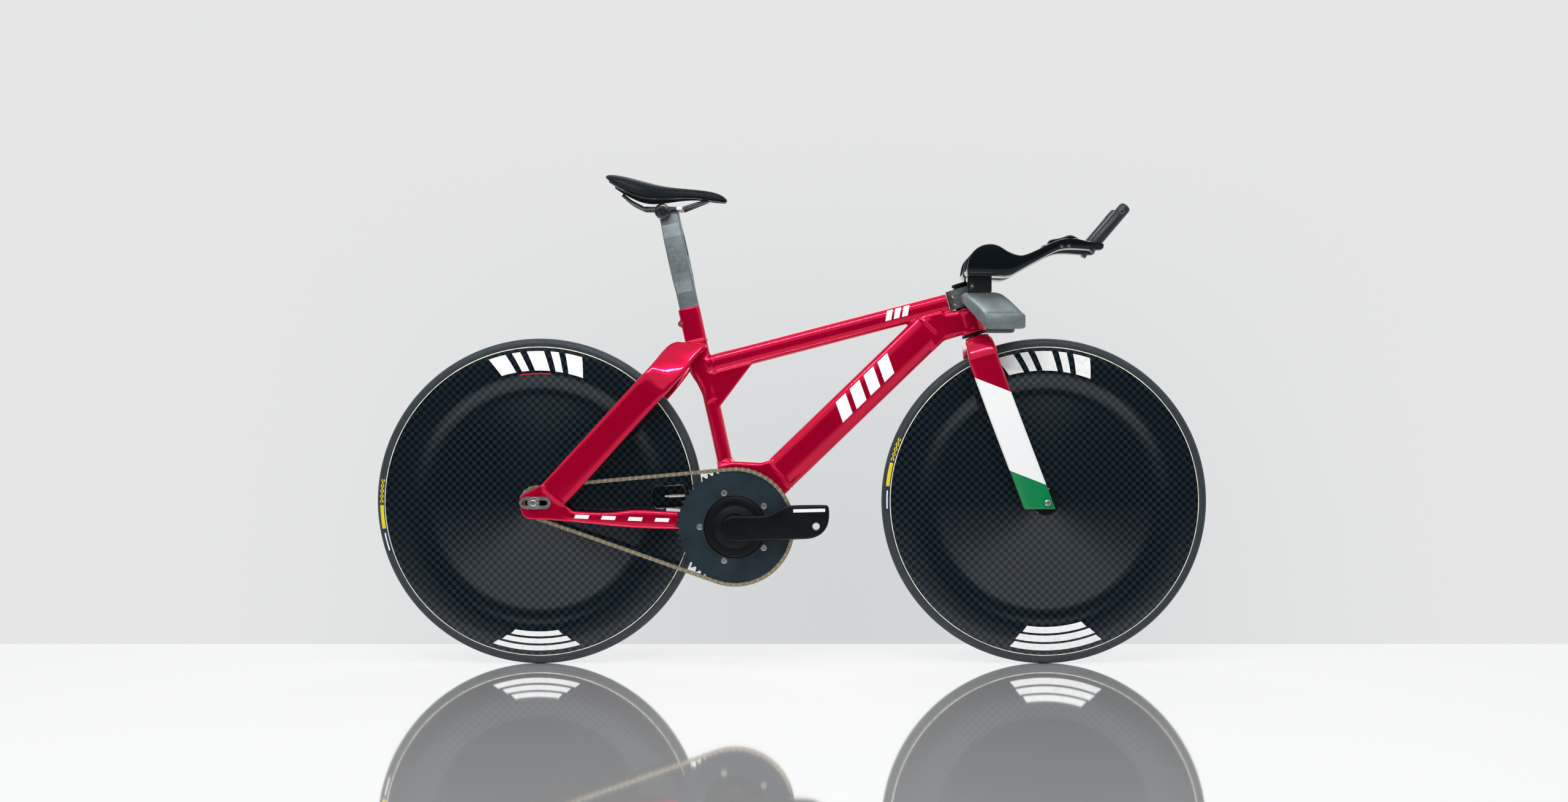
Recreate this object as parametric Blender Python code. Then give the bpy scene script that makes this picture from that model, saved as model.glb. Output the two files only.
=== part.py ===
"""Track bicycle for pursuit racing, modelled at its real size.

Units are metres. +X points forward, +Z up and the drive side is at -Y. The origin lies on the ground,
midway between the two wheels. Every sub-part is its own object, and each moving group hangs from an
empty that stands on its joint's axis.
"""
import math

import bmesh
import bpy
from mathutils import Matrix, Vector

# Fits
GAP = 0.0003                      # between meshes that touch on the real bicycle
RUNNING_GAP = 0.0006              # between a turning piece and a fixed one

# Wheels
WHEEL_RADIUS = 0.334
WHEELBASE = 1.0356
TYRE_WIDTH = 0.023
DISC_EDGE_RADIUS = WHEEL_RADIUS - 0.0175      # where the disc meets the tyre
DISC_EDGE_HALF_WIDTH = 0.0116
DISC_CREST_RADIUS = WHEEL_RADIUS - 0.070      # widest place of the deep rim
DISC_CREST_HALF_WIDTH = 0.0133
DISC_VALLEY_RADIUS = WHEEL_RADIUS - 0.113     # where the rim meets the lens of the disc
DISC_VALLEY_HALF_WIDTH = 0.0080
DISC_HUB_RADIUS = 0.027
DISC_HUB_HALF_WIDTH = 0.0265
DISC_SKIN = 0.0015
RIM_BED = 0.0016                  # wall under the tyre
WHEEL_SEGMENTS = 36
TYRE_SIDES = 12
HUB_SEGMENTS = 20

# Hubs and axles
REAR_SPACING = 0.120
FRONT_SPACING = 0.100
AXLE_RADIUS = 0.005
HUB_NECK_RADIUS = 0.016
FRONT_HUB_CAP_RADIUS = 0.025
AXLE_WASHER_RADIUS = 0.012
AXLE_HEAD_RADIUS = 0.008
VALVE_RADIUS = 0.004
VALVE_LENGTH = 0.044
VALVE_ANGLE = math.radians(2.0)
WINDOW_LENGTH = 0.066
WINDOW_HEIGHT = 0.043
WINDOW_CENTRE_RADIUS = DISC_CREST_RADIUS + 0.002

# Drive train
CHAINSTAY_LENGTH = 0.4067         # bottom bracket axis to rear axle
BOTTOM_BRACKET_DROP = 0.0503
CHAIN_PITCH = 0.0127
RING_TEETH = 58
SPROCKET_TEETH = 15
CHAIN_LINE = 0.043
TOOTH_THICKNESS = 0.0030
TOOTH_HEIGHT = 0.0040             # above the pitch circle
TOOTH_ROOT = 0.0040               # below the pitch circle
RING_BORE_RADIUS = 0.0636
BOLT_CIRCLE_RADIUS = 0.072
BOLT_HEAD_RADIUS = 0.0063
BOLT_SHANK_RADIUS = 0.0050
BOLT_COUNT = 5
FIRST_BOLT_ANGLE = math.radians(180.0)
SPIDER_THICKNESS = 0.0045
CHAIN_INNER_WIDTH = 0.0040
CHAIN_OUTER_WIDTH = 0.0080
CHAIN_HEIGHT = 0.0082
ROLLER_RADIUS = 0.0038
ROLLERS_PER_RUN = 6

# Cranks
CRANK_LENGTH = 0.165
CRANK_ANGLE = math.radians(1.3)
CRANK_OUTER_FACE = 0.078          # from the bicycle's middle plane
CRANK_THICKNESS = 0.0135
PEDAL_THREAD_RADIUS = 0.00715
SPINDLE_RADIUS = 0.012
CRANK_BOSS_RADIUS = 0.0265
SHELL_WIDTH = 0.068
SHELL_RADIUS = 0.0235
CUP_RADIUS = 0.0175
CUP_FLANGE_RADIUS = 0.0215
CUP_FLANGE = 0.0022

# Steering
HEAD_ANGLE = math.radians(73.5)
FORK_RAKE = 0.0392
FORK_LENGTH = 0.3639              # axle to the crown datum, along the steering axis
CROWN_TOP = 0.002                 # rises are measured along the axis from the crown datum
HEAD_TUBE_BOTTOM = 0.0075
HEAD_TUBE_TOP = 0.0615
HEAD_TUBE_RADIUS = 0.027
BEARING_RADIUS = 0.0209
BEARING_HEIGHT = 0.008
STEERER_RADIUS = 0.0143
STEERER_WALL = 0.0022
ROUND_SEGMENTS = 20               # of the tubes and bearings about the steering and bracket axes
STEM_BOTTOM = 0.0655
STEM_TOP = 0.1045
STEM_HALF_WIDTH = 0.018
STEM_REAR = 0.0325                # behind the steering axis
STEM_FRONT = 0.021                # ahead of the steering axis
STEM_CORNER = 0.009               # cut off both rear corners
TOP_CAP_RADIUS = 0.0175
TOP_CAP_HEIGHT = 0.010
TOP_TUBE_SETBACK = 0.035          # steering axis to the top tube's front face

# Fork blades
CROWN_HALF_DEPTH = 0.027
CROWN_THICKNESS = 0.026
CROWN_END = 0.046                 # side distance of the joint between the crown and a blade
CROWN_END_RISE = -0.0165
CROWN_END_LEAN = 50               # degrees
FORK_OUTER_HALF_WIDTH = 0.076
FORK_TIP_THICKNESS = 0.010
FORK_BLADE_THICKNESS = 0.015
FORK_BLADE_DEPTH = 0.060

# Frame tubes
TUBE_WALL = 0.0018
TOP_TUBE_DEPTH = 0.041
TOP_TUBE_WIDTH = 0.036
TOP_TUBE_SLOPE = math.radians(14.6)
DOWN_TUBE_DEPTH = 0.0747
DOWN_TUBE_WIDTH = 0.040
DOWN_TUBE_SLOPE = math.radians(44.0)
SEAT_TUBE_ANGLE = math.radians(77.7)
SEAT_TUBE_AHEAD = 0.005           # of the bottom bracket axis, at its height
SEAT_TUBE_RADIUS = 0.016
SEAT_TUBE_BOTTOM = 0.133          # rises are measured along the seat tube from the bracket's height
SEAT_TUBE_ROUND_TOP = 0.284
SEAT_TUBE_FLARE = 0.330
MAST_BOTTOM = 0.386
MAST_TOP = 0.460
MAST_WIDTH = 0.026
BINDER_SETBACK = 0.0275           # of the binder bolt, behind the seat tube's line
BINDER_DROP = 0.030               # below the mast's top
LUG_TOP = 0.4135                  # height of the web above the bottom bracket
LUG_WIDTH = 0.042
HEAD_LUG_REACH = 0.056            # along the underside of the top tube
STAY_SEAT_REAR = (0.0145, 0.0360)   # the seat stay's seat on the dropout, from the rear axle
STAY_SEAT_FRONT = (0.0615, -0.0052)
DROPOUT_THICKNESS = 0.008
INSERT_THICKNESS = 0.0018
SLOT_HEIGHT = 0.0106

# Seatpost and saddle
POST_DEPTH = 0.040
POST_WIDTH = 0.020
POST_BEVEL = 0.0045
POST_SETBACK = 0.004              # its middle lies behind the seat tube's line
POST_BOTTOM = 0.350
POST_SPLIT = 0.492
POST_OPEN = POST_SPLIT + 0.038
POST_CLOSING = POST_OPEN + 0.076
POST_JOINED = POST_CLOSING + 0.028
POST_TOP = POST_JOINED + 0.021
POST_BLADE = 0.009
POST_EYE_HALF_WIDTH = 0.030
CLAMP_RISE = POST_TOP + 0.0067
CLAMP_SETBACK = 0.0146
CLAMP_RADIUS = 0.0158
CLAMP_HALF_WIDTH = 0.030
RAIL_RADIUS = 0.0035
RAIL_SPREAD = 0.022               # each rail's distance from the middle plane
RAIL_ABOVE_CLAMP = 0.0063
SADDLE_PAD = 0.007
SADDLE_SHELL = 0.0025

# Handlebar
BAR_TIP_HALF_WIDTH = 0.097
BAR_FLAT_HALF_WIDTH = 0.062
RISER_HEIGHT = 0.030
ARM_SPREAD = 0.054                # each forearm's distance from the middle plane
ARM_WALL = 0.0028
ARM_PAD = 0.005
GRIP_RADIUS = 0.0122
GRIP_LENGTH = 0.113
GRIP_SLOPE = math.radians(49.7)


def ground_point(x, z, side=0.0):
    """A place given by its distance ahead of the origin and its height."""
    return Vector((x, side, z))


# Main points of the bicycle
REAR_AXLE = ground_point(-WHEELBASE / 2, WHEEL_RADIUS)
FRONT_AXLE = ground_point(WHEELBASE / 2, WHEEL_RADIUS)
CHAINSTAY_REACH = math.sqrt(CHAINSTAY_LENGTH**2 - BOTTOM_BRACKET_DROP**2)
BRACKET = REAR_AXLE + Vector((CHAINSTAY_REACH, 0, -BOTTOM_BRACKET_DROP))
SIDEWAYS = Vector((0, 1, 0))

STEER_UP = Vector((-math.cos(HEAD_ANGLE), 0, math.sin(HEAD_ANGLE)))
STEER_AHEAD = Vector((math.sin(HEAD_ANGLE), 0, math.cos(HEAD_ANGLE)))
CROWN_DATUM = FRONT_AXLE - FORK_RAKE * STEER_AHEAD + FORK_LENGTH * STEER_UP

SEAT_UP = Vector((-math.cos(SEAT_TUBE_ANGLE), 0, math.sin(SEAT_TUBE_ANGLE)))
SEAT_AHEAD = Vector((math.sin(SEAT_TUBE_ANGLE), 0, math.cos(SEAT_TUBE_ANGLE)))
SEAT_BASE = BRACKET + Vector((SEAT_TUBE_AHEAD, 0, 0))


def steer_point(ahead, rise, side=0.0):
    """A place measured from the steering axis."""
    return CROWN_DATUM + ahead * STEER_AHEAD + rise * STEER_UP + side * SIDEWAYS


def seat_point(ahead, rise, side=0.0):
    """A place measured from the seat tube's line."""
    return SEAT_BASE + ahead * SEAT_AHEAD + rise * SEAT_UP + side * SIDEWAYS


def bar_point(ahead, up, side=0.0):
    """A place on the handlebar, measured level and upright from the crown datum."""
    return CROWN_DATUM + Vector((ahead, side, up))


def clear_scene():
    for old in list(bpy.data.objects):
        bpy.data.objects.remove(old, do_unlink=True)


def make_material(name, colour, roughness, metallic=0.0):
    material = bpy.data.materials.new(name)
    material.use_nodes = True
    shader = material.node_tree.nodes["Principled BSDF"]
    shader.inputs["Base Color"].default_value = (*colour, 1.0)
    shader.inputs["Roughness"].default_value = roughness
    shader.inputs["Metallic"].default_value = metallic
    material.diffuse_color = (*colour, 1.0)
    return material


def make_empty(name, place, parent=None, tilt=0.0):
    """An axis that moving pieces hang from; tilt leans it about Y."""
    empty = bpy.data.objects.new(name, None)
    bpy.context.collection.objects.link(empty)
    empty.matrix_world = Matrix.Translation(place) @ Matrix.Rotation(tilt, 4, "Y")
    if parent is not None:
        bpy.context.view_layer.update()
        empty.parent = parent
        empty.matrix_parent_inverse = parent.matrix_world.inverted()
    return empty


def finish(name, mesh_source, material, sharp_angle=35.0):
    """Turn a bmesh into an object with outward faces."""
    bmesh.ops.remove_doubles(mesh_source, verts=mesh_source.verts, dist=1e-6)
    bmesh.ops.recalc_face_normals(mesh_source, faces=mesh_source.faces)
    mesh = bpy.data.meshes.new(name)
    mesh_source.to_mesh(mesh)
    mesh_source.free()
    mesh.shade_smooth()
    mesh.set_sharp_from_angle(angle=math.radians(sharp_angle))
    piece = bpy.data.objects.new(name, mesh)
    bpy.context.collection.objects.link(piece)
    piece.data.materials.append(material)
    return piece


def hang(piece, empty):
    """Parent a piece that is modelled in place to the axis that carries it."""
    bpy.context.view_layer.update()
    piece.parent = empty
    piece.matrix_parent_inverse = empty.matrix_world.inverted()
    return piece


def hang_local(piece, empty):
    """Parent a piece that is modelled about its own axis."""
    piece.parent = empty
    return piece


def turned(profile, segments, closed=True, centre=Vector((0, 0, 0)), axis=SIDEWAYS):
    """Spin a list of (radius, along) points about an axis. Its flats touch the stated radii."""
    ahead = axis.orthogonal().normalized() if abs(axis.y) < 0.99 else Vector((1, 0, 0))
    spread = 1.0 / math.cos(math.pi / segments)
    ahead = Matrix.Rotation(math.pi / segments, 3, axis) @ ahead
    form = bmesh.new()
    points = [form.verts.new(centre + ahead * radius * spread + axis * along) for radius, along in profile]
    count = len(points) if closed else len(points) - 1
    edges = [form.edges.new((points[i], points[(i + 1) % len(points)])) for i in range(count)]
    bmesh.ops.spin(form, geom=points + edges, cent=centre, axis=axis, angle=2 * math.pi,
                   steps=segments, use_merge=True)
    bmesh.ops.remove_doubles(form, verts=form.verts, dist=1e-6)
    return form


def ring_profile(inner, outer, low, high, chamfer=0.0):
    if chamfer == 0.0:
        return [(inner, low), (outer, low), (outer, high), (inner, high)]
    return [(inner, low), (outer - chamfer, low), (outer, low + chamfer),
            (outer, high - chamfer), (outer - chamfer, high), (inner, high)]


def rod_profile(radius, low, high, chamfer=0.0):
    if chamfer == 0.0:
        return [(0, low), (radius, low), (radius, high), (0, high)]
    return [(0, low), (radius - chamfer, low), (radius, low + chamfer),
            (radius, high - chamfer), (radius - chamfer, high), (0, high)]


def loft(loops, cap_start=True, cap_end=True, closed=False):
    """Skin a list of loops that have the same number of points."""
    form = bmesh.new()
    rings = [[form.verts.new(point) for point in loop] for loop in loops]
    count = len(rings[0])
    last = len(rings) if closed else len(rings) - 1
    for i in range(last):
        near, far = rings[i], rings[(i + 1) % len(rings)]
        for j in range(count):
            k = (j + 1) % count
            form.faces.new((near[j], near[k], far[k], far[j]))
    if not closed:
        if cap_start:
            form.faces.new(list(reversed(rings[0])))
        if cap_end:
            form.faces.new(rings[-1])
    return form


def extruded(outline, low, high):
    """A plate whose outline lies in the XZ plane, from one side distance to another."""
    near = [Vector((x, low, z)) for x, z in outline]
    far = [Vector((x, high, z)) for x, z in outline]
    return loft([near, far])


def rounded_section(depth, width, sides=16, power=3.2):
    """Points (ahead, side) of a rounded rectangle, as a superellipse."""
    points = []
    for i in range(sides):
        turn = 2 * math.pi * (i + 0.5) / sides
        reach = (abs(math.cos(turn)) ** power + abs(math.sin(turn)) ** power) ** (-1 / power)
        points.append((depth / 2 * reach * math.cos(turn), width / 2 * reach * math.sin(turn)))
    return points


def trim(form, place, normal):
    """Cut away what lies beyond a plane and close the cut."""
    cut = bmesh.ops.bisect_plane(form, geom=form.verts[:] + form.edges[:] + form.faces[:], dist=1e-7,
                                 plane_co=place, plane_no=normal, clear_outer=True)
    edges = [item for item in cut["geom_cut"] if isinstance(item, bmesh.types.BMEdge)]
    bmesh.ops.triangle_fill(form, edges=edges, use_beauty=True, use_dissolve=False)
    return form


def straight_tube(start, direction, across, length, depth, width, wall, power=3.2, sides=16):
    """An open-ended tube whose depth lies along across and whose width lies sideways."""
    form = bmesh.new()
    loops = []
    for shrink in (0.0, 2 * wall):
        section = rounded_section(depth - shrink, width - shrink, sides, power)
        for distance in (0.0, length):
            middle = start + direction * distance
            loops.append([form.verts.new(middle + across * a + SIDEWAYS * s) for a, s in section])
    outer_start, outer_end, inner_start, inner_end = loops
    for near, far in ((outer_start, outer_end), (inner_end, inner_start),
                      (inner_start, outer_start), (outer_end, inner_end)):
        for j in range(sides):
            k = (j + 1) % sides
            form.faces.new((near[j], near[k], far[k], far[j]))
    return form


def boolean(piece, cutter, operation="DIFFERENCE"):
    """Cut a piece with a hidden cutter, or join the cutter to it."""
    modifier = piece.modifiers.new(operation.lower(), "BOOLEAN")
    modifier.operation = operation
    modifier.solver = "EXACT"
    modifier.object = cutter
    cutter.hide_render = True
    cutter.display_type = "WIRE"
    return piece


def cutter_from(form, name):
    return finish(name, form, CUTTER_MATERIAL)


def rod(centre, axis, radius, low, high, segments=16, chamfer=0.0):
    return turned(rod_profile(radius, low, high, chamfer), segments, closed=False, centre=centre, axis=axis)


def swept_tube(name, points, radius, material, resolution=2):
    """A round bar along a list of places."""
    curve = bpy.data.curves.new(name, "CURVE")
    curve.dimensions = "3D"
    curve.bevel_depth = radius
    curve.bevel_resolution = resolution
    curve.use_fill_caps = True
    line = curve.splines.new("POLY")
    line.points.add(len(points) - 1)
    for target, point in zip(line.points, points):
        target.co = (*point, 1.0)
    piece = bpy.data.objects.new(name, curve)
    bpy.context.collection.objects.link(piece)
    curve.materials.append(material)
    caps = piece.modifiers.new("caps", "WELD")
    caps.merge_threshold = 0.00001
    return piece


def smooth_path(points, steps):
    """Read a smooth curve through a few chosen places."""
    path = []
    for i in range(len(points) - 1):
        before = points[max(i - 1, 0)]
        start, end = points[i], points[i + 1]
        after = points[min(i + 2, len(points) - 1)]
        for j in range(steps):
            t = j / steps
            path.append(0.5 * (2 * start + (end - before) * t
                               + (2 * before - 5 * start + 4 * end - after) * t**2
                               + (3 * start - before - 3 * end + after) * t**3))
    path.append(points[-1])
    return path


def down_tube_lines():
    """The down tube's direction, its upward normal and a point on its lower edge."""
    along = Vector((math.cos(DOWN_TUBE_SLOPE), 0, math.sin(DOWN_TUBE_SLOPE)))
    up = Vector((-along.z, 0, along.x))
    return along, up, BRACKET - up * SHELL_RADIUS


def top_tube_lines():
    """The top tube's direction, its upward normal and a point on its lower edge."""
    along = Vector((math.cos(TOP_TUBE_SLOPE), 0, math.sin(TOP_TUBE_SLOPE)))
    up = Vector((-along.z, 0, along.x))
    return along, up, steer_point(-TOP_TUBE_SETBACK, HEAD_TUBE_TOP)


def lug_corner():
    """Where the down tube's lower edge meets the lower face of the head tube's lug."""
    along, _, low = down_tube_lines()
    corner = steer_point(0, HEAD_TUBE_BOTTOM + 0.002)
    reach = (corner - low).dot(STEER_UP) / along.dot(STEER_UP)
    return low + along * reach


def build_head_tube(paint):
    top_along, _, top_low = top_tube_lines()
    corner = lug_corner()
    head = finish("head_tube", rod(CROWN_DATUM, STEER_UP, HEAD_TUBE_RADIUS, HEAD_TUBE_BOTTOM, HEAD_TUBE_TOP,
                                   24, 0.002),
                  paint)
    rear = top_low - top_along * HEAD_LUG_REACH
    plan = [steer_point(-0.015, HEAD_TUBE_TOP - 0.0007), top_low - STEER_UP * 2 * GAP,
            rear - STEER_UP * 2 * GAP,
            corner, steer_point(-0.015, HEAD_TUBE_BOTTOM + 0.0025)]
    bevel = 0.006
    loops = []
    middle = sum(plan, Vector()) / len(plan)
    for side, inset in ((-1, bevel), (-1, 0.0), (1, 0.0), (1, bevel)):
        reach = DOWN_TUBE_WIDTH / 2 - (0.0 if inset else bevel)
        shift = SIDEWAYS * side * reach
        loops.append([place + (middle - place).normalized() * inset + shift for place in plan])
    lug = cutter_from(loft(loops), "head_lug")
    boolean(head, lug, "UNION")
    seat = BEARING_RADIUS + GAP
    bore = STEERER_RADIUS + 0.003
    low, high = HEAD_TUBE_BOTTOM + BEARING_HEIGHT - 0.002, HEAD_TUBE_TOP - BEARING_HEIGHT
    profile = [(0, 0), (seat, 0), (seat, low), (bore, low), (bore, high), (seat, high), (seat, 0.08),
               (0, 0.08)]
    steps = turned(profile, ROUND_SEGMENTS, closed=False, centre=CROWN_DATUM, axis=STEER_UP)
    boolean(head, cutter_from(steps, "head_bore"))
    return head


def build_headset(steel):
    inner = STEERER_RADIUS + GAP
    lower = turned([(inner, CROWN_TOP + GAP), (HEAD_TUBE_RADIUS - 0.001, CROWN_TOP + GAP),
                    (HEAD_TUBE_RADIUS - 0.001, HEAD_TUBE_BOTTOM - GAP),
                    (BEARING_RADIUS, HEAD_TUBE_BOTTOM - GAP),
                    (BEARING_RADIUS, HEAD_TUBE_BOTTOM + BEARING_HEIGHT - 0.002 - GAP),
                    (inner, HEAD_TUBE_BOTTOM + BEARING_HEIGHT - 0.002 - GAP)],
                   ROUND_SEGMENTS, centre=CROWN_DATUM, axis=STEER_UP)
    upper = turned([(inner, HEAD_TUBE_TOP - BEARING_HEIGHT + GAP),
                    (BEARING_RADIUS, HEAD_TUBE_TOP - BEARING_HEIGHT + GAP),
                    (BEARING_RADIUS, HEAD_TUBE_TOP + GAP), (HEAD_TUBE_RADIUS - 0.004, HEAD_TUBE_TOP + GAP),
                    (HEAD_TUBE_RADIUS - 0.006, STEM_BOTTOM - GAP), (inner, STEM_BOTTOM - GAP)],
                   ROUND_SEGMENTS, centre=CROWN_DATUM, axis=STEER_UP)
    finish("headset_bearing_lower", lower, steel)
    finish("headset_bearing_upper", upper, steel)


def build_top_tube(paint):
    along, up, low = top_tube_lines()
    middle = low + up * TOP_TUBE_DEPTH / 2
    spare = 0.08
    length = (CROWN_DATUM - SEAT_BASE).length + 2 * spare
    form = straight_tube(middle + along * spare, -along, up, length, TOP_TUBE_DEPTH, TOP_TUBE_WIDTH,
                         TUBE_WALL, 4.0)
    trim(form, steer_point(-TOP_TUBE_SETBACK, 0), STEER_AHEAD)
    trim(form, seat_point(SEAT_TUBE_RADIUS + 0.002 + GAP, 0), -SEAT_AHEAD)
    finish("top_tube", form, paint)


def build_down_tube(paint):
    along, up, low = down_tube_lines()
    top_along, top_up, top_low = top_tube_lines()
    middle = low + up * DOWN_TUBE_DEPTH / 2
    length = (CROWN_DATUM - BRACKET).length + 0.13
    form = straight_tube(middle, along, up, length, DOWN_TUBE_DEPTH, DOWN_TUBE_WIDTH, TUBE_WALL, 4.0)
    corner = lug_corner()
    rear = top_low - top_along * HEAD_LUG_REACH
    seam = (rear - corner).normalized()
    ahead = Vector((seam.z, 0, -seam.x))
    trim(form, corner - ahead * GAP, ahead)
    trim(form, top_low - top_up * GAP, top_up)
    trim(form, down_tube_foot() + along * GAP, -along)
    finish("down_tube", form, paint)


def down_tube_foot():
    """Where the down tube's upper edge rises out of the bracket's web."""
    along, up, low = down_tube_lines()
    upper = low + up * DOWN_TUBE_DEPTH
    return upper + along * ((LUG_TOP - upper.z) / along.z)


def build_bracket_shell(paint):
    _, up, _ = down_tube_lines()
    foot = down_tube_foot()
    sole = foot - up * DOWN_TUBE_DEPTH
    tube_front = seat_point(SEAT_TUBE_RADIUS, SEAT_TUBE_BOTTOM)
    tube_rear = seat_point(-SEAT_TUBE_RADIUS, SEAT_TUBE_BOTTOM)
    outline = [sole, foot, tube_front, tube_rear]
    rear_heel = BRACKET + Vector((-SHELL_RADIUS - 0.006, 0, 0.030))
    outline += [rear_heel]
    for turn in (180, 210, 240, 270, 300):
        angle = math.radians(turn)
        outline.append(BRACKET + Vector((math.cos(angle), 0, math.sin(angle))) * (SHELL_RADIUS - 0.0005))
    half = LUG_WIDTH / 2
    middle = sum(outline, Vector()) / len(outline)
    loops = []
    for side, inset in ((-half, 0.006), (-half + 0.006, 0.0), (half - 0.006, 0.0), (half, 0.006)):
        loops.append([p + (middle - p).normalized() * inset + SIDEWAYS * side for p in outline])
    barrel = turned(ring_profile(CUP_RADIUS + GAP, SHELL_RADIUS, -SHELL_WIDTH / 2, SHELL_WIDTH / 2),
                    ROUND_SEGMENTS, centre=BRACKET)
    shell = finish("bottom_bracket_shell", barrel, paint)
    boolean(shell, cutter_from(loft(loops), "bracket_web"), "UNION")
    boolean(shell, cutter_from(rod(BRACKET, SIDEWAYS, CUP_RADIUS + GAP, -0.05, 0.05, ROUND_SEGMENTS),
                               "bracket_bore"))


def build_cups(steel):
    for name, side in (("right", -1), ("left", 1)):
        face = SHELL_WIDTH / 2 + GAP
        profile = [(SPINDLE_RADIUS + RUNNING_GAP, side * 0.018), (CUP_RADIUS, side * 0.018),
                   (CUP_RADIUS, side * face),
                   (CUP_FLANGE_RADIUS, side * face), (CUP_FLANGE_RADIUS, side * (face + CUP_FLANGE)),
                   (SPINDLE_RADIUS + RUNNING_GAP, side * (face + CUP_FLANGE))]
        finish("bracket_cup_" + name, turned(profile, ROUND_SEGMENTS, centre=BRACKET), steel)


def mast_sections():
    """The seat tube's outer edges and width at each rise: round below, deep and slim above."""
    rear, front = -0.028, 0.0172
    return [(SEAT_TUBE_BOTTOM + 0.001, -SEAT_TUBE_RADIUS, SEAT_TUBE_RADIUS, 2 * SEAT_TUBE_RADIUS),
            (SEAT_TUBE_ROUND_TOP, -SEAT_TUBE_RADIUS, SEAT_TUBE_RADIUS, 2 * SEAT_TUBE_RADIUS),
            (SEAT_TUBE_FLARE, rear - 0.004, front, 0.030), (MAST_BOTTOM, rear - 0.0015, front, 0.029),
            (MAST_BOTTOM + 0.004, rear, front, MAST_WIDTH), (MAST_TOP, rear, front, MAST_WIDTH)]


def post_section(spare=0.0):
    """The seatpost's section, a rectangle with bevelled corners; spare widens it into a bore."""
    depth, width = POST_DEPTH / 2 + spare, POST_WIDTH / 2 + spare
    bevel = POST_BEVEL + 0.6 * spare
    quarter = [(depth, width - bevel), (depth - bevel, width)]
    half = quarter + [(-a, s) for a, s in reversed(quarter)]
    return half + [(-a, -s) for a, s in half]


def binder_place():
    return seat_point(-BINDER_SETBACK, MAST_TOP - BINDER_DROP)


def build_seat_tube(paint):
    """The seat tube with its gusset and the mast that grips the seatpost."""
    def section(rise, rear, front, width, power):
        shape = rounded_section(front - rear, width, 16, power)
        return [seat_point((rear + front) / 2 + a, rise, s) for a, s in shape]

    loops = [section(*row, 2.0 if row[3] > 0.0315 else 3.0) for row in mast_sections()]
    tube = finish("seat_tube", loft(loops), paint)
    corner_low = seat_point(0, 0.254)
    top_along, top_up, top_low = top_tube_lines()
    nose = top_low - top_along * 0.418 - top_up * GAP * 2
    tail = top_low - top_along * 0.52 - top_up * GAP * 2
    outline = [(corner_low.x, corner_low.z), (nose.x, nose.z), (tail.x, tail.z)]
    boolean(tube, cutter_from(extruded(outline, -0.011, 0.011), "seat_gusset"), "UNION")
    lower = rod(SEAT_BASE, SEAT_UP, SEAT_TUBE_RADIUS - TUBE_WALL, 0.1, POST_BOTTOM - 0.017, 16)
    boolean(tube, cutter_from(lower, "seat_tube_bore"))
    hole = rod(binder_place(), SIDEWAYS, 0.0028, -0.03, 0.03, 12)
    boss = rod(binder_place(), SIDEWAYS, 0.0065, -0.010, 0.010, 12)
    boolean(tube, cutter_from(boss, "binder_boss"), "UNION")
    boolean(tube, cutter_from(hole, "binder_hole"))
    bore = [[seat_point(-POST_SETBACK + a, rise, s) for a, s in post_section(GAP)]
            for rise in (POST_BOTTOM - 0.018, MAST_TOP + 0.01)]
    boolean(tube, cutter_from(loft(bore), "mast_bore"))


def build_binder_bolt(steel):
    profile = [(0, -0.0145), (0.0042, -0.0145), (0.0042, -0.010 - GAP), (0.0025, -0.010 - GAP),
               (0.0025, 0.010),
               (0, 0.010)]
    finish("seatpost_binder_bolt", turned(profile, 12, closed=False, centre=binder_place()), steel)


# Rows of the chainstay and of the seat stay are measured from the rear axle
CHAINSTAY_ROWS = (
    # ahead of axle, bottom, top, side distance, thickness
    (-0.0290, -0.0115, 0.0115, 0.0640, DROPOUT_THICKNESS),
    (-0.0200, -0.0300, 0.0195, 0.0640, DROPOUT_THICKNESS),
    (0.0080, -0.0330, 0.0285, 0.0640, DROPOUT_THICKNESS),
    (STAY_SEAT_REAR[0], -0.0335, STAY_SEAT_REAR[1], 0.0640, DROPOUT_THICKNESS),
    (STAY_SEAT_FRONT[0], -0.0370, STAY_SEAT_FRONT[1], 0.0640, DROPOUT_THICKNESS),
    (0.0780, -0.0390, -0.0160, 0.0620, 0.0140),
    (0.1570, -0.0480, -0.0195, 0.0515, 0.0160),
    (0.2090, -0.0530, -0.0155, 0.0420, 0.0170),
    (0.2940, -0.0570, -0.0210, 0.0250, 0.0165),
    (0.3650, -0.0600, -0.0280, 0.0245, 0.0165),
)
SEAT_STAY_ROWS = (
    # upper edge ahead and up, lower edge ahead and up, side distance, thickness
    (STAY_SEAT_REAR[0] + GAP, STAY_SEAT_REAR[1] + GAP, STAY_SEAT_FRONT[0] + GAP, STAY_SEAT_FRONT[1] + GAP,
     0.0640, 0.0110),
    (0.1200, 0.1520, 0.1665, 0.1110, 0.0650, 0.0130),
    (0.2080, 0.2485, 0.2500, 0.2030, 0.0650, 0.0140),
    (0.2310, 0.2740, 0.2750, 0.2310, 0.0590, 0.0140),
    (0.2430, 0.2900, 0.2990, 0.2600, 0.0470, 0.0140),
    (0.2560, 0.3080, 0.3170, 0.2850, 0.0330, 0.0130),
    (0.2700, 0.3220, 0.3320, 0.3050, 0.0225, 0.0110),
    (0.2800, 0.3260, 0.3400, 0.3160, 0.0206, 0.0100),
)


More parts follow.
